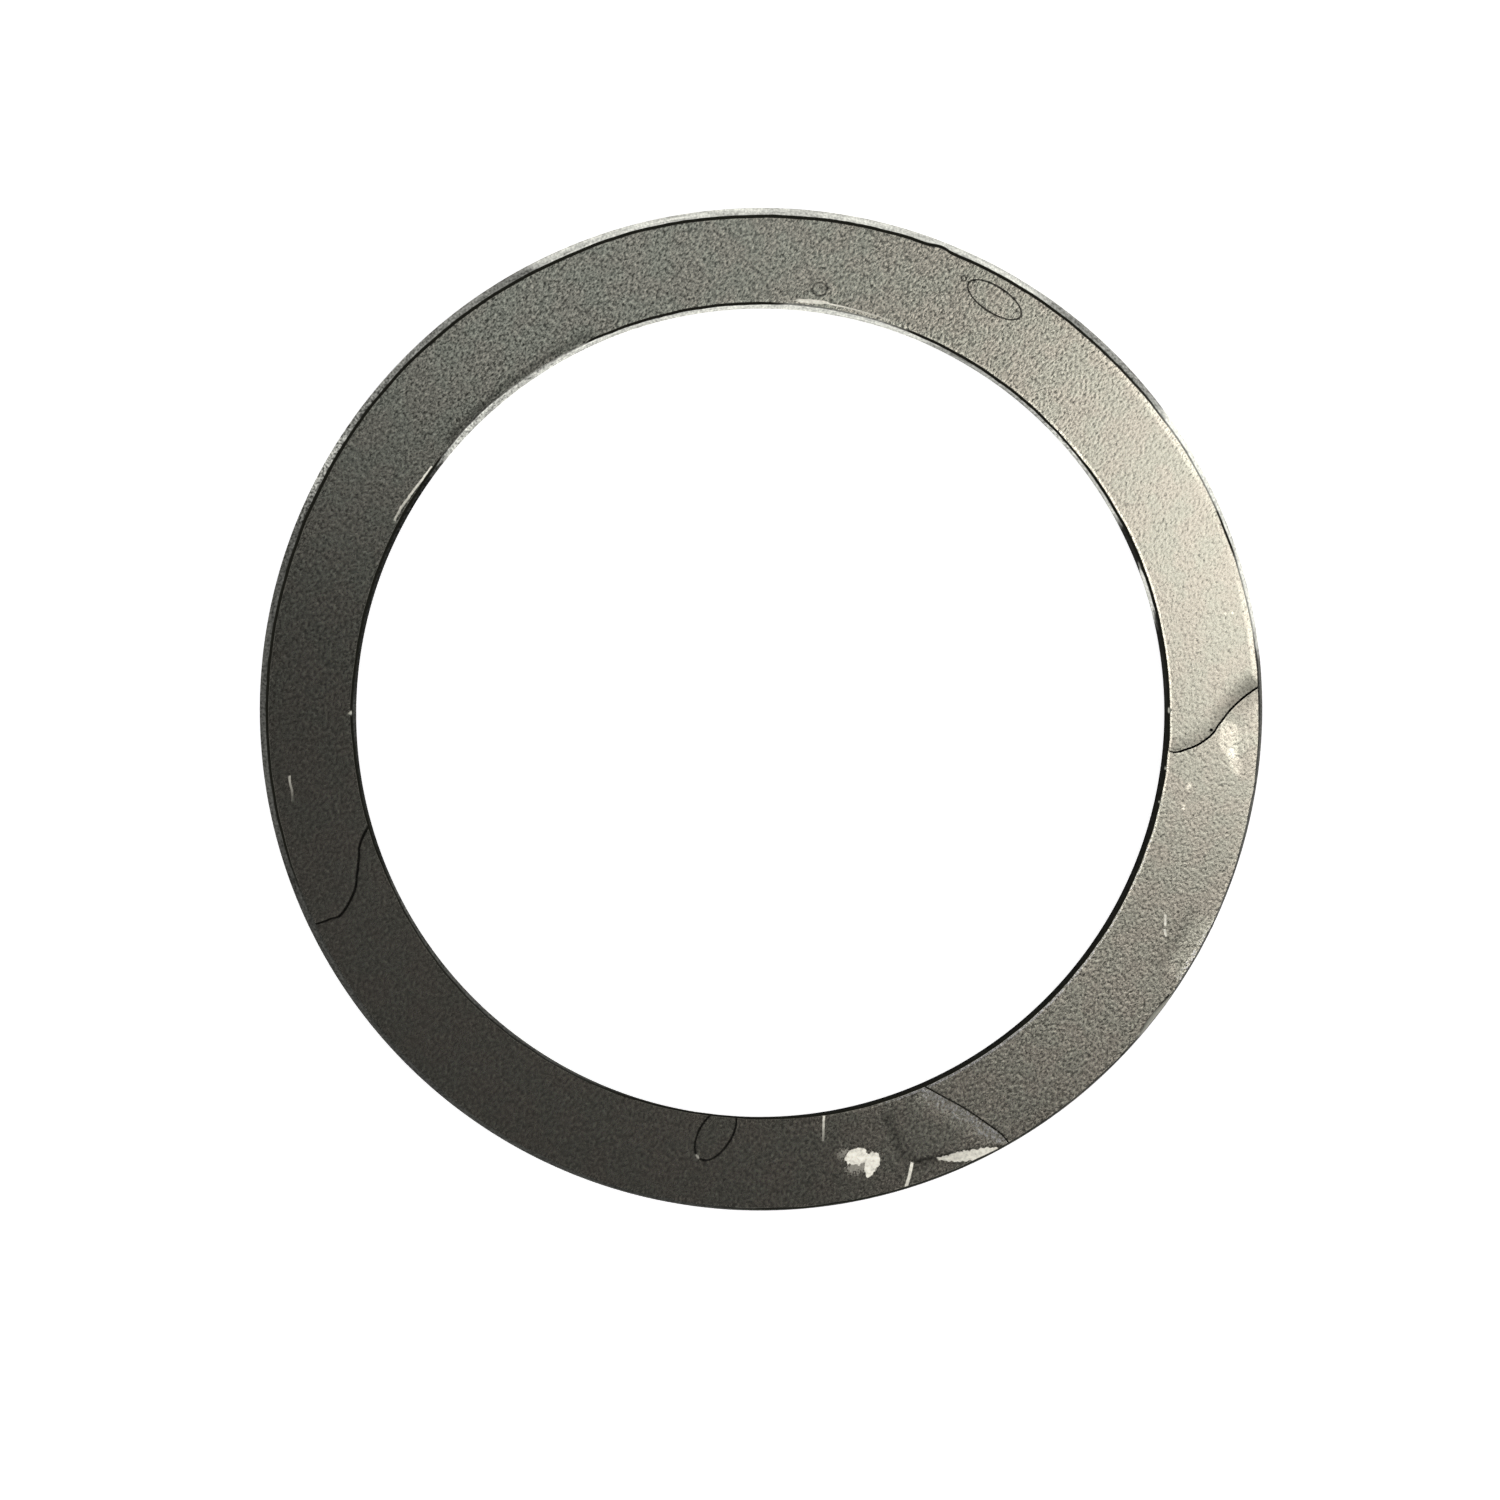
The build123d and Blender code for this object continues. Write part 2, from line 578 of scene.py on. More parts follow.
class Wiring:
    """Adds nodes to one shader tree and joins them up."""

    def __init__(self, tree: bpy.types.NodeTree) -> None:
        """Keeps the tree."""
        self.tree = tree

    def add(self, kind: str, **settings: object) -> bpy.types.Node:
        """Adds a node and sets its properties.

        Args:
            kind: the node's type, without its ShaderNode prefix.
            settings: properties to set on it.

        Returns:
            The node.
        """
        node = self.tree.nodes.new("ShaderNode" + kind)
        for name, setting in settings.items():
            setattr(node, name, setting)
        return node

    def feed(self, socket: Socket, value: object) -> None:
        """Links an input to an output, or sets its plain value.

        Args:
            socket: the input.
            value: the output or the plain value.
        """
        if isinstance(value, Socket):
            self.tree.links.new(value, socket)
        else:
            socket.default_value = value

    def math(self, operation: str, *values: Value) -> Socket:
        """Adds a Math node.

        Args:
            operation: what it does.
            values: what it does that to.

        Returns:
            Its result.
        """
        node = self.add("Math", operation=operation)
        for socket, value in zip(node.inputs, values):
            self.feed(socket, value)
        return node.outputs[0]

    def sum(self, *values: Value) -> Socket:
        """Adds several values up."""
        return reduce(partial(self.math, "ADD"), values)

    def product(self, *values: Value) -> Socket:
        """Multiplies several values."""
        return reduce(partial(self.math, "MULTIPLY"), values)

    def hypot(self, first: Value, second: Value) -> Socket:
        """Returns the square root of the sum of two squares."""
        squares = self.sum(self.product(first, first), self.product(second, second))
        return self.math("SQRT", squares)

    def scaled(self, vector: object, factor: Value) -> Socket:
        """Multiplies a vector or a colour by a number.

        Args:
            vector: the vector or the colour.
            factor: the number.

        Returns:
            The result.
        """
        node = self.add("VectorMath", operation="SCALE")
        self.feed(node.inputs[0], vector)
        self.feed(node.inputs["Scale"], factor)
        return node.outputs["Vector"]

    def parts(self, vector: Socket) -> tuple[Socket, Socket, Socket]:
        """Returns a vector's three parts."""
        node = self.add("SeparateXYZ")
        self.feed(node.inputs[0], vector)
        return tuple(node.outputs)

    def joined(self, *values: Value) -> Socket:
        """Joins three values.

        Args:
            values: the three values.

        Returns:
            The vector.
        """
        node = self.add("CombineXYZ")
        for socket, value in zip(node.inputs, values):
            self.feed(socket, value)
        return node.outputs[0]

    def ramp(
        self, value: Value, start: Value, end: Value, low: Value = 0.0, high: Value = 1.0
    ) -> Socket:
        """Carries a value from the range start to end over to low to high, easing in and out.

        Args:
            value: the value to carry over.
            start: where the ramp starts.
            end: where the ramp ends.
            low: the result at the start and before it.
            high: the result at the end and past it.

        Returns:
            The result.
        """
        node = self.add("MapRange", interpolation_type="SMOOTHSTEP")
        settings = {"Value": value, "From Min": start, "From Max": end, "To Min": low, "To Max": high}
        for name, given in settings.items():
            self.feed(node.inputs[name], given)
        return node.outputs["Result"]

    def mix(self, share: Value, first: Value, second: Value) -> Socket:
        """Mixes two values.

        Args:
            share: how much of the second there is.
            first: the value where the share is 0.
            second: the value where the share is 1.

        Returns:
            The mixed value.
        """
        node = self.add("Mix", data_type="FLOAT")
        for place, value in ((0, share), (2, first), (3, second)):
            self.feed(node.inputs[place], value)
        return node.outputs[0]

    def mix_colour(self, share: Value, first: object, second: object) -> Socket:
        """Mixes two colours.

        Args:
            share: how much of the second there is.
            first: the colour where the share is 0.
            second: the colour where the share is 1.

        Returns:
            The mixed colour.
        """
        node = self.add("Mix", data_type="RGBA")
        for place, value in ((0, share), (6, first), (7, second)):
            self.feed(node.inputs[place], (*value, 1.0) if isinstance(value, tuple) else value)
        return node.outputs[2]

    def noise(self, vector: object, scale: Value, detail: float = 1.0) -> Socket:
        """Adds a noise.

        Args:
            vector: the place where it is read.
            scale: how many swings it has in a unit of length.
            detail: how many finer layers it has.

        Returns:
            Its value, which swings about 0.
        """
        node = self.add("TexNoise", noise_dimensions="3D")
        for name, value in {"Vector": vector, "Scale": scale, "Detail": detail}.items():
            self.feed(node.inputs[name], value)
        return self.math("SUBTRACT", node.outputs["Fac"], 0.5)

    def curve(self, value: Value, points: Sequence[Point]) -> Socket:
        """Reads a smooth curve through a few points.

        Args:
            value: where to read it, from 0 to 1.
            points: the places and values that it passes through.

        Returns:
            The curve's value there.
        """
        node = self.add("FloatCurve")
        node.mapping.use_clip = False
        line = node.mapping.curves[0]
        while len(line.points) < len(points):
            line.points.new(0.5, 0.5)
        for point, place in zip(line.points, points):
            point.location = place
        node.mapping.update()
        self.feed(node.inputs["Value"], value)
        return node.outputs[0]

    def attribute(self, name: str) -> Socket:
        """Returns the value of one of the mesh's own attributes."""
        return self.add("Attribute", attribute_name=name).outputs["Fac"]

    def one_less(self, share: Value) -> Socket:
        """Returns what a share leaves of 1."""
        return self.math("SUBTRACT", 1.0, share)

    def around(self, share: Value, stops: Stops) -> Socket:
        """Reads a value that changes round the ring.

        Args:
            share: the angle as a share of a full turn.
            stops: angles in degrees, rising from 0 to 360, each with its value.

        Returns:
            The value at that angle.
        """
        node = self.add("ValToRGB")
        ramp = node.color_ramp
        while len(ramp.elements) < len(stops):
            ramp.elements.new(0.5)
        for element, (angle, value) in zip(ramp.elements, stops):
            element.position = angle / 360
            element.color = (value, value, value, 1.0)
        self.feed(node.inputs["Fac"], share)
        return node.outputs["Color"]

    def place(self, group: bpy.types.NodeTree, **values: object) -> bpy.types.Node:
        """Places a node group and feeds its inputs.

        Args:
            group: the group's tree.
            values: the inputs, with _ for a space in their names.

        Returns:
            The group's node.
        """
        node = self.add("Group", node_tree=group)
        for name, value in values.items():
            self.feed(node.inputs[name.replace("_", " ")], value)
        return node


class Effect:
    """A shader node group with named inputs and outputs, built once and shared."""

    def __init__(self, name: str, inputs: dict[str, object], outputs: Sequence[str]) -> None:
        """Makes the group's tree with its sockets.

        Args:
            name: the group's name.
            inputs: each input's name and default, a number or a triple.
            outputs: the outputs' names, all plain values.
        """
        self.tree = bpy.data.node_groups.new(name, "ShaderNodeTree")
        for label, default in inputs.items():
            kind = "NodeSocketVector" if isinstance(default, tuple) else "NodeSocketFloat"
            socket = self.tree.interface.new_socket(label, in_out="INPUT", socket_type=kind)
            socket.default_value = default
        for label in outputs:
            self.tree.interface.new_socket(label, in_out="OUTPUT", socket_type="NodeSocketFloat")
        self.start = self.tree.nodes.new("NodeGroupInput").outputs
        self.end = self.tree.nodes.new("NodeGroupOutput").inputs
        self.wiring = Wiring(self.tree)

    def give(self, **results: Value) -> bpy.types.NodeTree:
        """Feeds the outputs.

        Args:
            results: the outputs, with _ for a space in their names.

        Returns:
            The group's tree.
        """
        for name, value in results.items():
            self.wiring.feed(self.end[name.replace("_", " ")], value)
        return self.tree


# How much painted shade lies along each upper corner round the ring
RIM_PAINTED_SHADE: Stops = (
    (0, 0.5), (6.5, 0.5), (8, 0.42), (16, 0.42), (19, 0.75), (22, 0.75), (24, 0.47), (35, 0.45), (39, 0.7),
    (50, 0.75), (60, 0.95), (146, 0.95), (149, 1.05), (155, 1.05), (159, 0.95), (196, 0.8), (204, 0.25),
    (264, 0.25), (270, 0.65), (290, 0.65), (315, 0.5), (328, 0.32), (352, 0.32), (360, 0.45),
)
BORE_PAINTED_SHADE: Stops = (
    (0, 1.0), (36, 1.0), (40, 0.7), (48, 1.0), (66, 0.95), (70, 0.6), (74, 0.42), (86, 0.48), (89, 0.95),
    (113, 0.95), (117, 0.25), (126, 0.25), (130, 0.6), (141, 0.6), (145, 1.0), (195, 0.9), (206, 0.65),
    (245, 0.6), (255, 0.9), (360, 1.0),
)


class Effects:
    """The node groups that the finishes share. Places and lengths in them are in millimetres."""

    def __init__(self) -> None:
        """Builds every group once, the ones that others use first."""
        self.own_frame = self.build_own_frame()
        self.bearing = self.build_bearing()
        self.grain = self.build_grain()
        self.band = self.build_band()
        self.painted_corner_shade = self.build_painted_corner_shade()
        self.line = self.build_line()
        self.oval = self.build_oval()

    @staticmethod
    def build_own_frame() -> bpy.types.NodeTree:
        """Builds the group that reads a place in a mark's own turned frame.

        Along = (p - c) . (cos a, sin a) and Across = (p - c) . (-sin a, cos a).

        Returns:
            The group's tree.
        """
        inputs = {"Place": ORIGIN, "Centre": ORIGIN, "Turn": 0.0}
        effect = Effect("own frame", inputs, ("Along", "Across"))
        wiring = effect.wiring
        away = wiring.add("VectorMath", operation="SUBTRACT")
        wiring.feed(away.inputs[0], effect.start["Place"])
        wiring.feed(away.inputs[1], effect.start["Centre"])
        x, y, _ = wiring.parts(away.outputs[0])
        angle = wiring.math("RADIANS", effect.start["Turn"])
        cosine, sine = wiring.math("COSINE", angle), wiring.math("SINE", angle)
        along = wiring.sum(wiring.product(x, cosine), wiring.product(y, sine))
        across = wiring.math("SUBTRACT", wiring.product(y, cosine), wiring.product(x, sine))
        return effect.give(Along=along, Across=across)

    @staticmethod
    def build_bearing() -> bpy.types.NodeTree:
        """Builds the group that tells where a place lies round the ring.

        Turn Share runs from 0 to 1 over a full turn. It wanders a little, so that what follows it
        has no clean ends. On Rim is 1 on the rim's half of the face and 0 on the bore's, and they
        meet at the radius Parting.

        Returns:
            The group's tree.
        """
        inputs = {"Place": ORIGIN, "Parting": 28.0, "Wander": 0.018, "Wander Pitch": 0.9}
        effect = Effect("bearing", inputs, ("Turn Share", "On Rim"))
        wiring = effect.wiring
        place = effect.start["Place"]
        x, y, _ = wiring.parts(place)
        turn = wiring.math("DIVIDE", wiring.math("ARCTAN2", y, x), 2 * math.pi)
        wander = wiring.noise(place, effect.start["Wander Pitch"], detail=3.0)
        drift = wiring.product(wander, effect.start["Wander"])
        share = wiring.math("FRACT", wiring.sum(turn, drift, 1.0))
        rim = wiring.math("GREATER_THAN", wiring.hypot(x, y), effect.start["Parting"])
        return effect.give(Turn_Share=share, On_Rim=rim)

    def build_grain(self) -> bpy.types.NodeTree:
        """Builds the group for the matt grain that a textured roll leaves on strip.

        Two noises, drawn out in one direction, make the tone, and the coarser of them makes the
        height. Drift is a slow change of tint. All three outputs swing about 0.

        Returns:
            The group's tree.
        """
        inputs = {
            "Place": ORIGIN,
            "Pitch": 5.5,
            "Finer": 1.8,
            "Draw": 1.4,
            "Turn": 50.0,
            "Drift Pitch": 0.55,
        }
        effect = Effect("rolled grain", inputs, ("Tone", "Height", "Drift"))
        wiring = effect.wiring
        start = effect.start
        own = wiring.place(self.own_frame, Place=start["Place"], Turn=start["Turn"])
        along = wiring.math("DIVIDE", own.outputs["Along"], start["Draw"])
        _, _, z = wiring.parts(start["Place"])
        drawn = wiring.joined(along, own.outputs["Across"], z)
        coarse = wiring.noise(drawn, start["Pitch"])
        fine = wiring.noise(drawn, wiring.product(start["Pitch"], start["Finer"]))
        tone = wiring.sum(wiring.product(coarse, 0.5), wiring.product(fine, 0.5))
        drift = wiring.noise(start["Place"], start["Drift Pitch"], detail=2.0)
        return effect.give(Tone=tone, Height=coarse, Drift=drift)

    @staticmethod
    def build_band() -> bpy.types.NodeTree:
        """Builds the group for a band between two distances, with soft borders outside them.

        Returns:
            The group's tree.
        """
        effect = Effect("band", {"Distance": 0.0, "Low": 0.0, "High": 1.0, "Soft": 0.02}, ("Mask",))
        wiring = effect.wiring
        distance, soft = effect.start["Distance"], effect.start["Soft"]
        low, high = effect.start["Low"], effect.start["High"]
        rise = wiring.ramp(distance, wiring.math("SUBTRACT", low, soft), low)
        fall = wiring.ramp(distance, high, wiring.math("ADD", high, soft), 1.0, 0.0)
        return effect.give(Mask=wiring.product(rise, fall))

    def build_painted_corner_shade(self) -> bpy.types.NodeTree:
        """Builds the group for the painted shade along the two upper corners.

        Where there is less of it, it is both paler and narrower. Distance is the distance from
        the corner's crest, negative on the face's side.

        Returns:
            The group's tree.
        """
        inputs = {
            "Place": ORIGIN,
            "Distance": 0.0,
            "On Face": 0.12,
            "On Wall": 0.20,
            "Soft": 0.035,
            "Black From": 0.8,
        }
        effect = Effect("painted corner shade", inputs, ("Mask",))
        wiring = effect.wiring
        start = effect.start
        bearing = wiring.place(self.bearing, Place=start["Place"]).outputs
        share = bearing["Turn Share"]
        amount = wiring.mix(
            bearing["On Rim"], wiring.around(share, BORE_PAINTED_SHADE), wiring.around(share, RIM_PAINTED_SHADE)
        )
        band = wiring.place(
            self.band,
            Distance=start["Distance"],
            Low=wiring.product(amount, start["On Face"], -1.0),
            High=wiring.product(amount, start["On Wall"]),
            Soft=start["Soft"],
        )
        black = wiring.ramp(amount, 0.0, start["Black From"])
        return effect.give(Mask=wiring.product(band.outputs["Mask"], black))

    @staticmethod
    def build_line() -> bpy.types.NodeTree:
        """Builds the group for a drawn line with a shade that fades out on each side of it.

        Share is how far along the line a place lies, and Off is its distance from the line, on
        its left. With Lens at 1 the line is widest at its middle: its width goes with
        4 s (1 - s).

        Returns:
            The group's tree.
        """
        inputs = {
            "Place": ORIGIN,
            "Share": 0.0,
            "Off": 0.0,
            "Half Width": 0.05,
            "Soft": 0.03,
            "Lens": 0.0,
            "Ragged": 0.0,
            "Ragged Pitch": 3.0,
            "Start Level": 1.0,
            "End Level": 1.0,
            "Left Reach": 1.0,
            "Right Reach": 1.0,
        }
        effect = Effect("line", inputs, ("Line", "Left Shade", "Right Shade"))
        wiring = effect.wiring
        start = effect.start
        share = start["Share"]
        # Half of the share of its length over which each end fades
        fade = 0.004
        begun = wiring.ramp(share, -fade, fade)
        ended = wiring.ramp(share, 1 - fade, 1 + fade, 1.0, 0.0)
        ends = wiring.product(begun, ended)
        level = wiring.mix(wiring.ramp(share, 0.0, 1.0), start["Start Level"], start["End Level"])

        noise = wiring.noise(start["Place"], start["Ragged Pitch"], detail=3.0)
        ragged = wiring.product(noise, start["Ragged"])
        off = wiring.sum(start["Off"], ragged)
        bulge = wiring.product(share, wiring.math("SUBTRACT", 1.0, share), 4.0)
        half = wiring.product(start["Half Width"], wiring.mix(start["Lens"], 1.0, bulge))
        away = wiring.math("ABSOLUTE", off)
        line = wiring.ramp(away, half, wiring.sum(half, start["Soft"]), 1.0, 0.0)

        # Half of the width over which a shade starts
        rise = 0.02
        shades = []
        for side, reach in ((1.0, start["Left Reach"]), (-1.0, start["Right Reach"])):
            distance = wiring.product(off, side)
            gone = wiring.ramp(distance, 0.0, reach, 1.0, 0.0)
            shades.append(wiring.product(ends, level, gone, wiring.ramp(distance, -rise, rise)))
        left, right = shades
        return effect.give(Line=wiring.product(ends, level, line), Left_Shade=left, Right_Shade=right)

    def build_oval(self) -> bpy.types.NodeTree:
        """Builds the group for an oval: the distance past its outline, about 0 on the outline.

        With p the place and q the place divided by the half axes, the distance is
        (|q| - 1) |p| / |q|. Taper narrows the oval towards its back end: its breadth goes with
        1 + taper * along, and never below Narrowest. Ragged moves the outline in and out by a
        noise of the given pitch.

        Returns:
            The group's tree.
        """
        inputs = {
            "Place": ORIGIN,
            "Centre": ORIGIN,
            "Half Length": 1.0,
            "Half Breadth": 1.0,
            "Turn": 0.0,
            "Taper": 0.0,
            "Narrowest": 0.12,
            "Ragged": 0.0,
            "Ragged Pitch": 1.0,
        }
        effect = Effect("oval", inputs, ("Past",))
        wiring = effect.wiring
        start = effect.start
        own = wiring.place(
            self.own_frame, Place=start["Place"], Centre=start["Centre"], Turn=start["Turn"]
        )
        along, across = own.outputs["Along"], own.outputs["Across"]
        share = wiring.math("DIVIDE", along, start["Half Length"])
        wide = wiring.sum(1.0, wiring.product(share, start["Taper"]))
        wide = wiring.math("MAXIMUM", wide, start["Narrowest"])
        breadth = wiring.product(start["Half Breadth"], wide)
        scaled = wiring.hypot(share, wiring.math("DIVIDE", across, breadth))
        above_nothing = wiring.math("MAXIMUM", scaled, 1e-4)
        stretch = wiring.math("DIVIDE", wiring.hypot(along, across), above_nothing)
        past = wiring.product(wiring.math("SUBTRACT", scaled, 1.0), stretch)
        ragged = wiring.noise(start["Place"], start["Ragged Pitch"], detail=3.0)
        return effect.give(Past=wiring.sum(past, wiring.product(ragged, start["Ragged"])))


# -------------------- Marks on the upper face --------------------


class Coat:
    """What the marks do to the steel: a factor on its colour, and a share of pale painted glint."""

    def __init__(self, wiring: Wiring, effects: Effects, place: Socket) -> None:
        """Starts with clean steel.

        Args:
            wiring: the wiring of the material's tree.
            effects: the shared node groups.
            place: the place on the ring, in millimetres.
        """
        self.wiring = wiring
        self.effects = effects
        self.place = place
        self.tone: Value = 1.0
        self.pale: Value = 0.0

    def shade(self, mask: Value, factor: float) -> None:
        """Multiplies the steel's colour under a mask.

        Args:
            mask: the mask.
            factor: the factor where the mask is 1.
        """
        if factor != 1.0:
            step = self.wiring.math("MULTIPLY_ADD", mask, factor - 1.0, 1.0)
            self.tone = self.wiring.product(self.tone, step)

    def painted_glint(self, mask: Value, amount: float) -> None:
        """Lays a pale painted glint under a mask, in the given share."""
        if amount:
            self.pale = self.wiring.math("MAXIMUM", self.pale, self.wiring.product(mask, amount))


@dataclass(frozen=True)
class Stroke:
    """A dried oil line, a scratch, a painted glint or a band of painted shade along a bowed line. Lengths
    are in mm.

    Attributes:
        start: where it starts.
        end: where it ends.
        bow: places where it leaves the straight line, as a share of its length and an offset to
            its left.
        half_width: half of its full-strength width.
        soft: how far it fades out beyond that.
        lens: 1 where it tapers from its middle to both ends.
        ragged: how far its border wanders.
        levels: its strength at the start and at the end.
        tone: the factor on the steel's colour on the line.
        pale: the share of pale painted glint on the line.
        left: the factor beside it on its left, and how far that reaches.
        right: the same on its right.
    """

    start: Point
    end: Point
    bow: tuple[Point, ...] = ()
    half_width: float = 0.04
    soft: float = 0.04
    lens: float = 0.0
    ragged: float = 0.0
    levels: Pair = (1.0, 1.0)
    tone: float = 1.0
    pale: float = 0.0
    left: Pair = (1.0, 1.0)
    right: Pair = (1.0, 1.0)

    def lay(self, coat: Coat) -> None:
        """Lays the stroke.

        Args:
            coat: the coat that it is laid on.
        """
        wiring, effects = coat.wiring, coat.effects
        run = (self.end[0] - self.start[0], self.end[1] - self.start[1])
        turn = math.degrees(math.atan2(run[1], run[0]))
        own = wiring.place(effects.own_frame, Place=coat.place, Centre=(*self.start, 0.0), Turn=turn)
        share = wiring.math("DIVIDE", own.outputs["Along"], math.hypot(*run))
        off = own.outputs["Across"]
        if self.bow:
            line = wiring.curve(share, ((0.0, 0.0), *self.bow, (1.0, 0.0)))
            off = wiring.math("SUBTRACT", off, line)
        masks = wiring.place(
            effects.line,
            Place=coat.place,
            Share=share,
            Off=off,
            Half_Width=self.half_width,
            Soft=self.soft,
            Lens=self.lens,
            Ragged=self.ragged,
            Start_Level=self.levels[0],
            End_Level=self.levels[1],
            Left_Reach=self.left[1],
            Right_Reach=self.right[1],
        ).outputs
        coat.shade(masks["Left Shade"], self.left[0])
        coat.shade(masks["Right Shade"], self.right[0])
        coat.shade(masks["Line"], self.tone)
        coat.painted_glint(masks["Line"], self.pale)


@dataclass(frozen=True)
class Oval:
    """An oval mark: the dried border of a drop, a speck or a painted glint. Lengths are in mm.

    Attributes:
        centre: its middle.
        half_length: half of its long axis.
        half_breadth: half of its short axis.
        turn: the direction of its long axis, in degrees.
        taper: how much its breadth grows towards its front end.
        ragged: how far its border wanders.
        ragged_pitch: how many wanderings there are in a millimetre.
        line: half the width of its border line, or 0 where the whole oval is marked.
        soft: how far it fades out.
        tone: the factor on the steel's colour.
        pale: the share of pale painted glint.
    """

    centre: Point
    half_length: float
    half_breadth: float
    turn: float = 0.0
    taper: float = 0.0
    ragged: float = 0.0
    ragged_pitch: float = 1.0
    line: float = 0.0
    soft: float = 0.04
    tone: float = 1.0
    pale: float = 0.0

    def lay(self, coat: Coat) -> None:
        """Lays the oval.

        Args:
            coat: the coat that it is laid on.
        """
        wiring = coat.wiring
        past = wiring.place(
            coat.effects.oval,
            Place=coat.place,
            Centre=(*self.centre, 0.0),
            Half_Length=self.half_length,
            Half_Breadth=self.half_breadth,
            Turn=self.turn,
            Taper=self.taper,
            Ragged=self.ragged,
            Ragged_Pitch=self.ragged_pitch,
        ).outputs["Past"]
        if self.line:
            mask = wiring.ramp(wiring.math("ABSOLUTE", past), self.line, self.line + self.soft, 1.0, 0.0)
        else:
            mask = wiring.ramp(past, -self.soft, self.soft, 1.0, 0.0)
        coat.shade(mask, self.tone)
        coat.painted_glint(mask, self.pale)


OIL_LINES_AND_PAINTED_LIGHT = (
    # The long S across the right-hand side, with painted shade above it and a narrow painted highlight
    # below it, then a soft painted shade at its upper right
    Stroke(
        (25.15, -2.55), (30.75, 1.39),
        bow=((0.14, -0.587), (0.328, -0.779), (0.519, -0.452), (0.753, -0.051), (0.917, 0.025)),
        half_width=0.058, soft=0.02, tone=0.0, left=(0.62, 1.3), right=(1.15, 0.22),
    ),
    Stroke((28.3, -0.65), (30.7, 1.75), half_width=0.2, soft=1.1, levels=(0.3, 1.0), tone=0.6),
    # The bow across the left-hand side
    Stroke(
        (-24.22, -7.07), (-27.66, -13.19),
        bow=((0.1275, 0.02), (0.289, 0.416), (0.434, 0.85), (0.625, 1.238), (0.769, 1.233), (0.878, 0.768)),
        half_width=0.06, soft=0.05, tone=0.12, left=(0.9, 0.5), right=(1.25, 0.4),
    ),
    # The flat line at the lower right, with a painted reflection below it and painted light above it
    Stroke(
        (10.08, -23.30), (15.29, -26.85),
        bow=((0.22, 0.13), (0.42, 0.25), (0.68, 0.26), (0.88, 0.216), (0.945, 0.13)),
        half_width=0.034, tone=0.04, left=(1.12, 9.0), right=(1.95, 1.9),
    ),
    # Painted shade along the lower border of that painted reflection, and down its fold
    Stroke((15.3, -26.95), (9.4, -27.95), bow=((0.4, -0.12),), soft=0.16, tone=0.5, left=(0.55, 0.8)),
    Stroke(
        (7.6, -25.0), (9.5, -28.0), bow=((0.34, -0.19), (0.63, -0.28), (0.85, -0.26)),
        half_width=0.05, soft=0.5, tone=0.72, left=(0.88, 1.2),
    ),
    # Painted shade beside the bore's corner at the upper left
    Stroke(
        (-10.3, 23.2), (-19.4, 16.4), bow=((0.25, -0.47), (0.5, -0.63), (0.75, -0.47)),
        half_width=0.08, soft=0.25, levels=(0.8, 0.9), tone=0.62, right=(0.76, 0.7),
    ),
)

DROPS = (
    Oval((14.35, 25.27), 1.90, 0.80, -33.0, line=0.05, soft=0.03, tone=0.1),
    Oval((12.45, 26.58), 0.15, 0.15, line=0.045, soft=0.03, tone=0.22),
    Oval((-2.86, -26.18), 1.84, 0.99, 57.9, ragged=0.16, ragged_pitch=0.5, line=0.05, tone=0.14),
    Oval((3.56, 25.92), 0.44, 0.42, line=0.04, soft=0.03, tone=0.35),
)

PAINTED_GLINTS = (
    # The painted glint beside the S, in streaks
    Oval((28.88, -1.85), 1.20, 0.58, 98.0, ragged=0.7, ragged_pitch=2.0, soft=0.22, tone=1.48),
    Oval((29.22, -3.25), 0.85, 0.38, 105.0, ragged=0.5, ragged_pitch=2.5, soft=0.16, tone=1.45),
    Oval((29.70, -1.90), 0.80, 0.07, 98.0, ragged=0.3, ragged_pitch=2.5, soft=0.08, tone=1.28),
    Oval((30.02, -1.75), 0.70, 0.07, 98.0, ragged=0.3, ragged_pitch=2.5, soft=0.08, tone=1.28),
    # A painted reflection beside the bore's corner at the top
    Oval((3.10, 25.16), 1.05, 0.13, -4.0, soft=0.05, pale=0.85),
    # The two-lobed painted glint at the bottom, with fainter mottled painted glint beside it
    Oval((5.88, -27.63), 0.70, 0.54, 20.0, ragged=0.6, ragged_pitch=4.0, soft=0.04, pale=1.0),
    Oval((6.77, -28.16), 0.84, 0.42, 73.0, taper=0.5, ragged=0.4, ragged_pitch=4.0, soft=0.04, pale=1.0),
    Oval((5.90, -28.25), 0.62, 0.36, 20.0, ragged=1.8, ragged_pitch=8.0, soft=0.06, pale=0.3),
    Oval((5.05, -27.45), 0.34, 0.20, 40.0, ragged=1.4, ragged_pitch=8.0, soft=0.06, pale=0.25),
    # Small painted glints
    Oval((-3.98, -27.60), 0.17, 0.07, -55.0, soft=0.04, pale=0.6),
    Oval((26.42, -4.75), 0.22, 0.13, 60.0, ragged=0.2, ragged_pitch=3.0, soft=0.08, tone=1.8),
    Oval((26.10, -6.05), 0.18, 0.12, 80.0, ragged=0.2, ragged_pitch=3.0, soft=0.08, tone=1.8),
    Oval((29.09, 5.95), 0.08, 0.08, soft=0.05, tone=1.6),
    Oval((28.65, 5.90), 0.06, 0.06, soft=0.05, tone=1.5),
)

SPECKS = (
    Oval((27.79, -1.29), 0.12, 0.10, soft=0.03, tone=0.0),
    Oval((28.48, -4.75), 0.07, 0.06, soft=0.05, tone=0.3),
    Oval((0.71, 27.19), 0.08, 0.07, soft=0.05, tone=0.25),
    Oval((-2.50, 26.21), 0.07, 0.07, soft=0.05, tone=0.3),
    Oval((11.14, 24.13), 0.17, 0.06, soft=0.05, tone=0.25),
    Oval((12.60, 23.25), 0.36, 0.05, -8.0, soft=0.05, tone=0.6),
    Oval((-6.48, 28.83), 0.07, 0.07, soft=0.05, tone=0.3),
)

